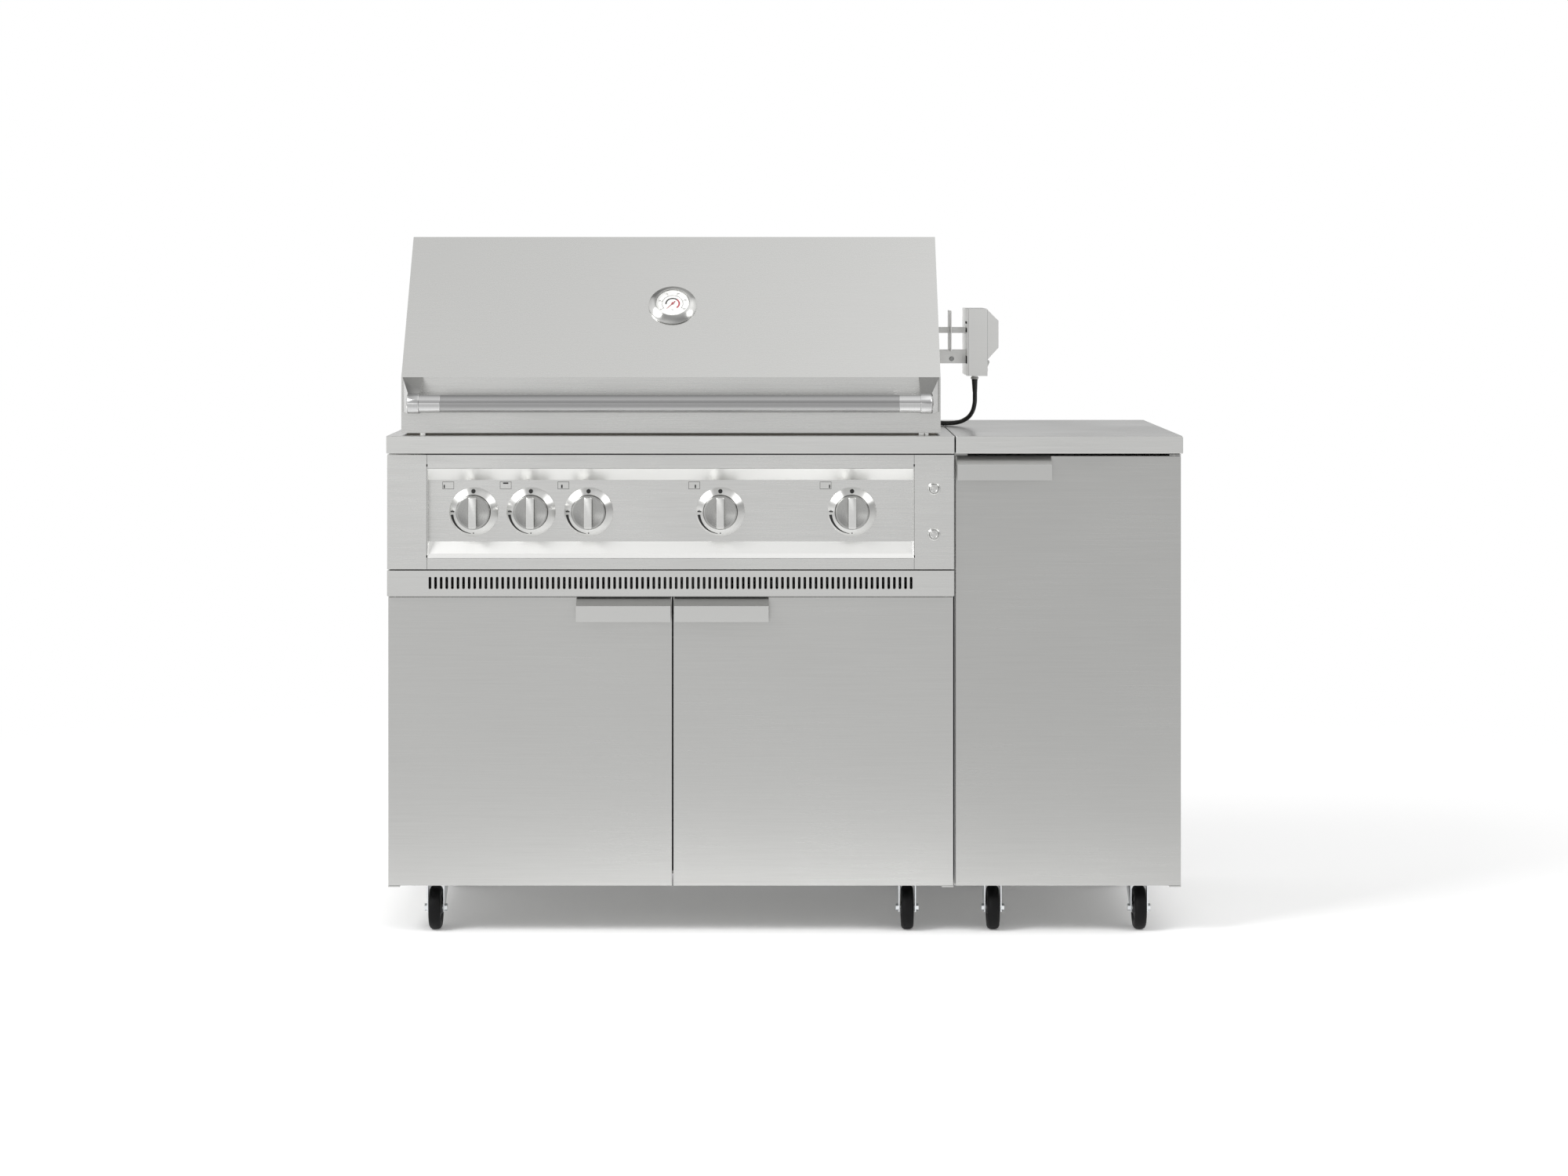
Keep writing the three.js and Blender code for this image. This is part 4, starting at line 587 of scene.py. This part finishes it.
# Burner pictograms on the panel: an outline of the grill and a bar for the burner
signSizes = {
    "offsets": (-57.6, -57.5, -57.5, -58.9, -59.3),  # left edge from the knob's centre
    "top": 834.3,
    "size": (21.2, 13.7),
    "line": 1.0,
    "bars": [((0.1, 0.415), (0.21, 0.887)), ((0.27, 0.11), (0.73, 0.3)), ((0.305, 0.415), (0.44, 0.87)),
             ((0.54, 0.415), (0.66, 0.87)), ((0.79, 0.415), (0.9, 0.88))],
}
s = signSizes
outlines, bars = bmesh.new(), bmesh.new()
for x, offset, (low, high) in zip(knobSizes["centres"], s["offsets"], s["bars"]):
    left, width, tall = x + offset, *s["size"]
    corner = facing(left, knobSizes["panel"], s["top"])
    box = bmesh.ops.create_grid(outlines, x_segments=1, y_segments=1, size=0.5,
                                matrix=corner @ at(width / 2, -tall / 2, 0)
                                @ Matrix.Diagonal((width * mm, tall * mm, 1, 1)))["verts"]
    bmesh.ops.inset_individual(outlines, faces=list(box[0].link_faces), thickness=s["line"] * mm)
    bmesh.ops.delete(outlines, geom=[f for f in outlines.faces if len(f.verts) == 4 and
                                     f.calc_area() > (width - 2) * (tall - 2) * mm * mm], context="FACES_ONLY")
    slab(bars, (low[0] * width, -high[1] * tall, 0.02), (high[0] * width, -low[1] * tall, 0.12), corner)
thicken(outlines, (0, -0.1, 0))
finishPiece(outlines, "burnerSignOutlines", greyInk, "island")
finishPiece(bars, "burnerSignBars", blackInk, "island")


# Panel edges: a bright strip on the bend as painted highlight, dark slabs as painted shade in the corner notches, and
# the frame's seams
trimSizes = {"ends": (-658.6, 238.6), "front": -286, "bend": (694.6, 702.6), "slope": 0.6, "notches": (697.6, 865.4),
             "notch": (2.4, 4.4), "seams": ((674.5, 693.5), (860.5, 884.6))}
t = trimSizes
bend = bmesh.new()
strip = slab(bend, (t["ends"][0] + 1, 0, 0), (t["ends"][1] - 1, 0.3, t["bend"][1] - t["bend"][0]))
for v in strip:  # leans with the slope that it lies on
    rise = v.co.z / mm
    v.co.y += (t["front"] + (t["bend"][0] - 694 + rise) * t["slope"] - 0.35) * mm
    v.co.z += t["bend"][0] * mm
finishPiece(bend, "panelBendHighlight", bendHighlightSteel, "island")
# dark slabs: painted shade in the corner notches, and thin dark seam lines at the frame's ends
notches = bmesh.new()
for x in t["ends"]:
    for z in t["notches"]:
        slab(notches, (x - t["notch"][0] / 2, t["front"] - 0.12, z - t["notch"][1] / 2),
             (x + t["notch"][0] / 2, t["front"] + 0.1, z + t["notch"][1] / 2))
    for low, high in t["seams"]:
        slab(notches, (x - 0.3, t["front"] - 0.1, low), (x + 0.3, t["front"] + 0.1, high))
finishPiece(notches, "panelNotchShadeAndSeams", darkHollow, "island")


# Push buttons and their rings

buttonSizes = {"x": 275, "heights": (822.5, 738.5), "frame": -286, "ring": 11.5, "cap": 8.4, "ringRise": 2.5,
               "rise": 5.5, "deep": 14}
b = buttonSizes
for node, z in zip(("igniter_button", "light_button"), b["heights"]):
    front = facing(b["x"], b["frame"], z)
    cap = bmesh.new()
    lathe(cap, [(0, -b["deep"]), (b["cap"], -b["deep"]), (b["cap"], b["rise"] - 1.4), (b["cap"] - 0.5, b["rise"] - 0.4),
                (b["cap"] - 1.6, b["rise"]), (b["cap"] - 2.6, b["rise"] - 0.1), (b["cap"] - 3.2, b["rise"] - 0.8),
                (0, b["rise"] - 0.4)], front, 40)
    finishPiece(cap, node.split("_")[0] + "Cap", ringSteel, node, [node])
    ring = bmesh.new()
    lathe(ring, [(b["cap"] + 0.5, 0.1), (b["cap"] + 0.5, b["ringRise"]), (b["cap"] + 1.2, b["ringRise"] + 0.5),
                 (b["ring"] - 0.6, b["ringRise"] - 0.2), (b["ring"] + 0.3, 1), (b["ring"] + 0.3, 0.1),
                 (b["cap"] + 0.5, 0.1)], front, 40)
    finishPiece(ring, node.split("_")[0] + "Ring", ringSteel, "island")
print("buttons")


# Lid handle

handleSizes = {"centre": (-210, -331, 981), "radius": 16.2, "knurl": 419.5, "sleeve": 458, "end": 478.5, "collar": 18}
h = handleSizes
along = at(*h["centre"]) @ turned(90, "Y")
tube = bmesh.new()
lathe(tube, [(0, -h["knurl"]), (h["radius"] - 0.35, -h["knurl"]), (h["radius"] - 0.35, h["knurl"]), (0, h["knurl"])],
      along, 56)
finishPiece(tube, "handleTube", handleSteel, "lid", ["lid_handle"])
for side, name in ((-1, "Left"), (1, "Right")):
    sleeve = bmesh.new()
    lathe(sleeve, [(0, side * (h["knurl"] - 0.2)), (h["radius"] - 0.6, side * (h["knurl"] - 0.2)),
                   (h["radius"], side * (h["knurl"] + 0.5)), (h["radius"], side * (h["sleeve"] - 0.4)),
                   (h["radius"] - 0.5, side * h["sleeve"]), (0, side * h["sleeve"])], along, 56)
    finishPiece(sleeve, "handleSleeve" + name, sleeveSteel, "lid")
    collar = bmesh.new()
    lathe(collar, [(0, side * h["sleeve"]), (h["collar"] - 0.8, side * h["sleeve"]),
                   (h["collar"], side * (h["sleeve"] + 0.9)), (h["collar"], side * (h["end"] - 2)),
                   (h["collar"] - 0.6, side * (h["end"] - 0.6)), (h["collar"] - 2, side * h["end"]),
                   (0, side * h["end"])], along, 56)
    finishPiece(collar, "handleCollar" + name, sleeveSteel, "lid")
print("handle")


# Thermometer

gaugeSizes = {
    "place": (-210, -153.84, 1157.7),
    "tilt": 39.35,
    "ring": 45,
    "window": 31.5,
    "edge": 3,
    "rise": 12,
    "dial": 6.4,  # height of the dial's face
    "glass": 9.6,
    "numbers": (213, 165, 116, 67, 19, -30),
    "values": ("50", "100", "150", "200", "250", "300"),
    "sweep": (213, 243, 50),  # where the ticks start, how far they go, and how many steps
    "ticks": 19.2,
    "figures": (25.6, 15, 3.6),  # radius of the numbers and of the unit, and their size
    "band": 12.4,
    "needle": 228,
}
g = gaugeSizes
lean = facing(*g["place"], g["tilt"])
ring = bmesh.new()
lathe(ring, [(0, -40), (3.6, -40), (4, -38), (4, 0.4), (g["ring"] - 0.6, 0.4), (g["ring"], 1),
             (g["ring"], g["edge"] - 0.6), (g["ring"] - 0.6, g["edge"]), (g["window"] + 1.2, g["rise"]),
             (g["window"] + 0.5, g["rise"]), (g["window"], g["rise"] - 0.6), (g["window"], 4.3), (0, 4.3)], lean, 80)
finishPiece(ring, "gaugeRing", gaugeSteel, "lid", ["gauge_bezel"])
dial = bmesh.new()
lathe(dial, [(0, 4.4), (g["window"] - 0.4, 4.4), (g["window"] - 0.4, g["dial"] + 1.8),
             (g["window"] - 1.4, g["dial"] + 1.8), (g["window"] - 4, g["dial"]), (0, g["dial"])], lean, 64)
finishPiece(dial, "gaugeDial", dialPaint, "lid", ["gauge_dial"])


def onDial(bm):
    # gives flat print its thickness and puts it on the dial
    thicken(bm, (0, 0, 0.12))
    bmesh.ops.transform(bm, matrix=lean @ at(0, 0, g["dial"] + 0.03), verts=bm.verts)


scale = bmesh.new()
printedArc(scale, g["band"], math.radians(52), math.radians(186), (3.0, 3.0))
printedArc(scale, g["ticks"], math.radians(-34), math.radians(217), (0.35, 0.35))
first, sweep, steps = g["sweep"]
for i in range(steps + 1):  # ten steps from one number to the next
    long = 3.0 if i % 10 == 0 else 2.2 if i % 5 == 0 else 1.4
    wide = 0.6 if i % 10 == 0 else 0.35
    tick = turned(first - i * sweep / steps, "Z") @ at(g["ticks"] + long / 2, 0, 0)
    bmesh.ops.create_grid(scale, x_segments=1, y_segments=1, size=0.5,
                          matrix=tick @ Matrix.Diagonal((long * mm, wide * mm, 1, 1)))
onDial(scale)
finishPiece(scale, "gaugeScale", blackInk, "lid")
hot = bmesh.new()
printedArc(hot, g["band"], math.radians(-52), math.radians(51), (3.0, 3.0))
onDial(hot)
finishPiece(hot, "gaugeHotBand", redInk, "lid")

figures = bmesh.new()
numberReach, unitReach, tall = g["figures"]
words = [(angle, value, numberReach) for angle, value in zip(g["numbers"], g["values"])] + [(270, "°C", unitReach)]
for angle, value, reach in words:
    text = bpy.data.curves.new("figure", "FONT")
    text.body, text.size, text.align_x, text.align_y = value, tall * mm, "CENTER", "CENTER"
    holder = bpy.data.objects.new("figure", text)
    scene.collection.objects.link(holder)
    bpy.context.view_layer.update()
    flat = holder.evaluated_get(bpy.context.evaluated_depsgraph_get()).to_mesh()
    before = set(figures.verts)
    figures.from_mesh(flat)
    turn = math.radians(angle)
    bmesh.ops.translate(figures, verts=newVerts(figures, before),
                        vec=(reach * mm * math.cos(turn), reach * mm * math.sin(turn), 0))
    bpy.data.objects.remove(holder)
    bpy.data.curves.remove(text)
bmesh.ops.remove_doubles(figures, verts=figures.verts, dist=0.001 * mm)
onDial(figures)
finishPiece(figures, "gaugeFigures", blackInk, "lid")

pointer = bmesh.new()
needle = slab(pointer, (-7, -0.45, 0.6), (16.5, 0.45, 1.1))
for v in needle:  # narrow at the tip and wide at the tail
    v.co.y *= 0.25 if v.co.x > 0 else 2.2
hub = [(0, 0.4), (2.2, 0.4), (2.2, 1.8), (1.4, 2.2), (0, 2.2)]
lathe(pointer, hub, Matrix(), 24)
bmesh.ops.transform(pointer, matrix=lean @ at(0, 0, g["dial"]) @ turned(g["needle"], "Z"), verts=pointer.verts)
finishPiece(pointer, "gaugePointer", redInk, "lid")
glass = bmesh.new()
lathe(glass, [(0, g["glass"]), (g["window"] - 0.3, g["glass"] - 0.4), (g["window"] - 0.3, g["glass"] + 0.8),
              (g["window"] - 8, g["glass"] + 1.5), (0, g["glass"] + 1.8)], lean, 56)
finishPiece(glass, "gaugeGlass", gaugeGlass, "lid")
print("thermometer")


# Rotisserie motor: rocker and its frame, gland nut, dark slabs as painted shade in the plate's slots, the arm's bolt,
# and a grey strip as painted shade along the housing's crease

motorSizes = {
    "rocker": {"pivot": (388.5, 14, 1038), "half": (8.7, 14.3), "proud": (8.0, 4.6, 2.6), "sink": 4.5},
    "frame": {"half": (11.2, 16), "walls": (1.8, 1.5), "rise": 1.3},
    "nut": {"top": 1017.2, "tall": 4, "radii": (6.25, 7.5)},
    "slots": [(-50, 10, 1121.8, 1126.3), (-50, 0, 1105.3, 1113.6), (-50, 10, 1045.3, 1060.3)],  # Y, Y, Z, Z
    "plate": 349.7,
    "bolt": (322.6, -3, 1054),
    "creaseShade": (388.5, -55, 1053.5, 1150),
}
m = motorSizes["rocker"]
rocker = bmesh.new()
x, y, z = m["pivot"]
# The ends stay inside one radius about the pivot, so that the rocker clears its frame
line = [(-m["sink"], 0.8 - m["half"][1]), (-1, -m["half"][1]), (m["proud"][2], 0.3 - m["half"][1]),
        (m["proud"][1], -m["half"][1] / 2), (m["proud"][1] - 0.6, 0), (m["proud"][0], m["half"][1] - 5),
        (m["proud"][0] - 1.4, m["half"][1] - 1.7), (3.3, m["half"][1] - 0.4), (-1, m["half"][1]),
        (-m["sink"], m["half"][1] - 0.8)]
rim = [rocker.verts.new(((x + a) * mm, (y - m["half"][0]) * mm, (z + c) * mm)) for a, c in line]
thicken(rocker, (0, m["half"][0] * 2, 0), [rocker.faces.new(rim)])
bmesh.ops.recalc_face_normals(rocker, faces=rocker.faces)
softenEdges(rocker, 0.9, 20, 3)
finishPiece(rocker, "motorRocker", greyPlastic, "motor_switch", ["motor_switch"], sharp=25)
bezel = bmesh.new()
(deep, tall), (side, end), rise = motorSizes["frame"].values()
for low, high in (((-deep, -tall), (deep, end - tall)), ((-deep, tall - end), (deep, tall)),
                  ((-deep, end - tall), (side - deep, tall - end)), ((deep - side, end - tall), (deep, tall - end))):
    slab(bezel, (x + 0.02, y + low[0], z + low[1]), (x + rise, y + high[0], z + high[1]))
finishPiece(bezel, "motorRockerFrame", blackPlastic, "island")

m = motorSizes["nut"]
nut = bmesh.new()
inner, outer = m["radii"]
lathe(nut, [(inner, -m["tall"]), (outer - 0.7, -m["tall"]), (outer, -m["tall"] + 0.8), (outer, -0.8),
            (outer - 0.7, 0), (inner, 0), (inner, -m["tall"])], at(*cordSizes["exit"][:2], m["top"]), 24)
finishPiece(nut, "motorGlandNut", greyPlastic, "island")

# dark slabs on the plate's face: painted shade for the inside of its slots
slots = bmesh.new()
for front, rear, low, high in motorSizes["slots"]:
    slab(slots, (motorSizes["plate"] - 0.08, front, low), (motorSizes["plate"] + 0.2, rear, high))
finishPiece(slots, "motorPlateSlotShade", darkHollow, "island")
bolt = bmesh.new()
lathe(bolt, [(0, 0), (4.6, 0), (4.6, 0.8), (3.9, 1), (3.9, 2.6), (3.3, 3.3), (1.6, 3.3), (1.6, 1.6), (0, 1.6)],
      facing(*motorSizes["bolt"]), 18)
finishPiece(bolt, "motorArmBolt", boltSteel, "island")
# a grey strip on the housing: painted shade along its vertical crease
x, y, low, high = motorSizes["creaseShade"]
creaseShade = bmesh.new()
slab(creaseShade, (x - 0.25, y - 0.06, low), (x + 0.25, y + 0.1, high))
finishPiece(creaseShade, "motorCreaseShade", boltSteel, "island")
print("rotisserie motor")


# Lid feet, and the returns folded under the vent strip and the counters

edgeSizes = {
    "feet": [(-673.5, 9.5), (248, 10), (259.4, 6.8)],  # left end and width
    "footDepth": (-260.6, -254.8),
    "foot": (920.2, 923.75),
    "ventBack": -276,
    "counterBack": -287.5,
}
e = edgeSizes
feet = bmesh.new()
for x, wide in e["feet"]:
    slab(feet, (x, e["footDepth"][0], e["foot"][0]), (x + wide, e["footDepth"][1], e["foot"][1]))
softenEdges(feet, 0.8, 30, 2)
finishPiece(feet, "lidFeet", whiteNylon, "lid")
returns = bmesh.new()
low, high = [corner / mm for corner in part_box("vent_strip")]
slab(returns, (low.x + 1, low.y + 0.4, low.z - 1.3), (high.x - 1, e["ventBack"], low.z - 0.1))
for name in ("grill_counter", "side_counter"):
    low, high = [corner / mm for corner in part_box(name)]
    slab(returns, (low.x + 1, low.y + 1.6, low.z + 0.3), (high.x - 1, e["counterBack"], low.z + 1.5))
finishPiece(returns, "edgeReturns", counterSteel, "island")
print("lid feet and edge returns")


# Ceramic tiles of the rear burner, and the screws of the rear walls

tileSizes = {"left": -427.6, "right": 7.6, "count": 6, "front": 143.5, "rear": 148.8, "bottom": 957.4, "top": 1027.6,
             "joint": 0.8, "grooves": 9, "groove": 1.6, "taper": 0.4}
t = tileSizes
tiles = bmesh.new()
wide = (t["right"] - t["left"]) / t["count"]
for i in range(t["count"]):
    left = t["left"] + wide * i
    slab(tiles, (left + t["joint"] / 2, t["front"], t["bottom"]), (left + wide - t["joint"] / 2, t["rear"], t["top"]))
softenEdges(tiles, 0.6)
faces = [f for f in tiles.faces if f.normal.y < -0.9 and f.calc_area() > 0.001]
upright = list({e for f in faces for e in f.edges if abs(e.verts[0].co.x - e.verts[1].co.x) < 1e-6})
bmesh.ops.subdivide_edges(tiles, edges=upright, cuts=t["grooves"] * 2, use_grid_fill=True)
rows = sorted({round(v.co.z, 6) for f in tiles.faces if f.normal.y < -0.9 for v in f.verts})
for f in [f for f in tiles.faces if f.normal.y < -0.9 and f.calc_area() > 1e-4]:
    if rows.index(round(min(v.co.z for v in f.verts), 6)) % 2 == 1:  # every second strip is a groove
        bmesh.ops.inset_individual(tiles, faces=[f], thickness=t["taper"] * mm, depth=-t["groove"] * mm)
finishPiece(tiles, "rearBurnerTiles", ceramicTile, "island")

screwSizes = {"rear": 329.02, "head": (4.4, 2.4), "socket": (1.7, 1.3), "inset": 14, "foot": 32, "pitch": 165}
s = screwSizes
screws = bmesh.new()
(r, rise), (hole, deep) = s["head"], s["socket"]
head = [(0, 0), (r, 0), (r - 0.2, 0.9), (r - 1.4, rise - 0.3), (hole + 0.3, rise), (hole, rise - 0.2),
        (hole, rise - deep), (0, rise - deep)]
for name in ("grill_cabinet", "side_cabinet"):
    low, high = [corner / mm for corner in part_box(name)]
    left, right = low.x + s["inset"], high.x - s["inset"]
    count = round((right - left) / s["pitch"])
    for i in range(count + 1):
        for z in (low.z + s["foot"], high.z - s["inset"]):
            lathe(screws, head, at(left + (right - left) * i / count, s["rear"], z) @ turned(-90, "X"), 12)
finishPiece(screws, "rearScrews", boltSteel, "island")
print("burner tiles and screws")


# Casters

casterSizes = {"tyre": 40, "half": 12}


def casterWheel(index, low, high):
    # rounded rubber tyre on a nylon hub, turned about X
    place = Matrix.Translation((low + high) / 2) @ turned(90, "Y")
    tyre = bmesh.new()
    w, r = casterSizes["half"], casterSizes["tyre"]
    lathe(tyre, [(26, -w + 2), (31, -w + 0.6), (35, -w + 0.8), (38.2, -w + 2.6), (39.6, -w + 5.5), (r, -w + 9),
                 (r, w - 9), (39.6, w - 5.5), (38.2, w - 2.6), (35, w - 0.8), (31, w - 0.6), (26, w - 2), (26, -w + 2)],
          place, 64)
    finishPiece(tyre, f"casterTyre{index}", wheelRubber, f"caster_wheel_{index}", [f"caster_wheel_{index}"])
    hub = bmesh.new()
    lathe(hub, [(5.3, -w), (11, -w), (12, -w + 3), (24, -w + 4.2), (26.2, -w + 2.2), (26.2, w - 2.2), (24, w - 4.2),
                (12, w - 3), (11, w), (5.3, w), (5.3, -w)], place, 48)
    finishPiece(hub, f"casterHub{index}", blackPlastic, f"caster_wheel_{index}")


for i in range(1, 9):
    casterWheel(i, *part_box(f"caster_wheel_{i}"))
print("casters")


# Light, floor and background

studio = {
    "lamps": {  # place, aim, size and radiance
        "keyLeft": ((-3.6, -2.9, 4.1), (-0.1, 0, 0.6), (2.2, 2.0), 12),
        "fillRight": ((3.8, -2.6, 3.6), (0.1, 0, 0.8), (2.0, 1.8), 3),
    },
    "floor": 30,
    "floorTone": "e6e6e6",
    "lift": 0.1,
    "paperEnds": (-0.6, -1.9),  # in front of the picture the paper gives way to the room's darker floor
    "roomFloor": 0.7,
    "white": (1.2, 3.2),  # the floor turns fully white between these distances in metres
    "mirrored": (0.5, 1.2),  # and what a mirror sees of it turns plain between these
    "front": ((0, 0.92), (0.1, 0.82), (0.2, 0.48), (0.34, 0.5), (0.6, 0.56), (0.8, 0.92), (0.92, 0.95), (1, 0.8)),
    "back": ((0, 1), (0.06, 1), (0.18, 0.36), (0.7, 0.33), (0.94, 0.6), (1, 0.8)),
    "sideways": (-1.5, 1.2),  # left to right, at the horizon and overhead
    "sidePanels": (0.48, 0.62, 0.75),  # where the white panels at both sides start, in sine, and what they add
}


def areaLamp(name, place, aim, size, radiance):
    lamp = bpy.data.lights.new(name, "AREA")
    lamp.shape = "RECTANGLE"
    lamp.size, lamp.size_y = size
    lamp.energy = radiance * math.pi * size[0] * size[1]
    holder = bpy.data.objects.new(name, lamp)
    holder.location = place
    holder.rotation_euler = (Vector(aim) - Vector(place)).to_track_quat("-Z", "Y").to_euler()
    scene.collection.objects.link(holder)


for name, settings in studio["lamps"].items():
    areaLamp(name, *settings)

floorMesh = bmesh.new()
bmesh.ops.create_grid(floorMesh, x_segments=2, y_segments=2, size=studio["floor"])
mesh = bpy.data.meshes.new("floor")
floorMesh.to_mesh(mesh)
floorMesh.free()
floor = bpy.data.objects.new("floor", mesh)
scene.collection.objects.link(floor)

# the floor is plain pale paint; what the camera or a mirror sees of it is lifted to the white of the background
paint = bpy.data.materials.new("studioFloor")
paint.use_nodes = True
tree = paint.node_tree
tree.nodes.remove(tree.nodes["Principled BSDF"])
seen = addNode(tree, "LightPath")
first = addNode(tree, "Math", {0: seen.outputs["Is Camera Ray"], 1: seen.outputs["Is Glossy Ray"]}, operation="MAXIMUM")
either = addNode(tree, "Math", {0: first.outputs[0], 1: seen.outputs["Is Transmission Ray"]}, operation="MAXIMUM")
plain = addNode(tree, "BsdfDiffuse", {"Color": colour(studio["floorTone"])})
pale = addNode(tree, "BsdfDiffuse", {"Color": (1, 1, 1, 1)})
spot = addNode(tree, "TexCoord")
reach = addNode(tree, "VectorMath", {0: spot.outputs["Object"]}, operation="LENGTH")
ends = [addNode(tree, "Mix", {0: seen.outputs["Is Camera Ray"], 2: mirrored, 3: white})
        for mirrored, white in zip(studio["mirrored"], studio["white"])]
away = addNode(tree, "MapRange", {0: reach.outputs["Value"], 1: ends[0].outputs[0], 2: ends[1].outputs[0]},
               interpolation_type="SMOOTHSTEP")
glow = addNode(tree, "Emission", {"Color": (1, 1, 1, 1), "Strength": studio["lift"]})
near = addNode(tree, "AddShader", {0: pale.outputs[0], 1: glow.outputs[0]})
ahead = addNode(tree, "SeparateXYZ", {0: spot.outputs["Object"]})
dusk = addNode(tree, "MapRange", {0: ahead.outputs[1], 1: studio["paperEnds"][0], 2: studio["paperEnds"][1], 3: 1.0,
                                  4: studio["roomFloor"]}, interpolation_type="SMOOTHSTEP")
distant = addNode(tree, "Mix", {0: seen.outputs["Is Camera Ray"], 2: dusk.outputs[0], 3: 1.0})
far = addNode(tree, "Emission", {"Color": (1, 1, 1, 1), "Strength": distant.outputs[0]})
lifted = addNode(tree, "MixShader", {0: away.outputs[0], 1: near.outputs[0], 2: far.outputs[0]})
which = addNode(tree, "MixShader", {0: either.outputs[0], 1: plain.outputs[0], 2: lifted.outputs[0]})
tree.links.new(which.outputs[0], tree.nodes["Material Output"].inputs["Surface"])
floor.data.materials.append(paint)

# the room: pale in front, dimmer behind and above, and white where the camera looks past the island
world = bpy.data.worlds.new("room")
scene.world = world
world.use_nodes = True
tree = world.node_tree
where = addNode(tree, "TexCoord")
parts = addNode(tree, "SeparateXYZ", {0: where.outputs["Generated"]})
behind = addNode(tree, "MapRange", {0: parts.outputs[1], 1: -0.1, 2: 0.35}, interpolation_type="SMOOTHSTEP")
halves = []
for side in ("front", "back"):  # brightness by height above the horizon
    ramp = addNode(tree, "ValToRGB", {0: parts.outputs[2]})
    stops = ramp.color_ramp.elements
    for i, (place, level) in enumerate(studio[side]):
        stop = stops[i] if i < 2 else stops.new(place)
        stop.position, stop.color = place, (level, level, level, 1)
    halves.append(ramp.outputs[0])
around = addNode(tree, "Mix", {0: behind.outputs[0], 6: halves[0], 7: halves[1]}, data_type="RGBA")
across = addNode(tree, "Clamp", {0: parts.outputs[0], 1: -0.3, 2: 0.3})
flat, overhead = studio["sideways"]
tip = addNode(tree, "MapRange", {0: parts.outputs[2], 1: 0.0, 2: 0.8, 3: flat, 4: overhead})
lean = addNode(tree, "Math", {0: across.outputs[0], 1: tip.outputs[0], 2: 1.0}, operation="MULTIPLY_ADD")
level = addNode(tree, "Math", {0: around.outputs[2], 1: lean.outputs[0]}, operation="MULTIPLY")
outward = addNode(tree, "Math", {0: parts.outputs[0]}, operation="ABSOLUTE")
starts, full, adds = studio["sidePanels"]
beside = addNode(tree, "MapRange", {0: outward.outputs[0], 1: starts, 2: full, 3: 0.0, 4: adds},
                 interpolation_type="SMOOTHSTEP")
above = addNode(tree, "MapRange", {0: parts.outputs[2], 1: 0.3, 2: 0.45}, interpolation_type="SMOOTHSTEP")
level = addNode(tree, "Math", {0: beside.outputs[0], 1: above.outputs[0], 2: level.outputs[0]},
                operation="MULTIPLY_ADD")
seen = addNode(tree, "LightPath")
white = addNode(tree, "Mix", {0: seen.outputs["Is Camera Ray"], 2: level.outputs[0], 3: 1.0})
sky = tree.nodes["Background"]
tree.links.new(white.outputs[0], sky.inputs["Strength"])
sky.inputs["Color"].default_value = (1, 1, 1, 1)
print("studio")
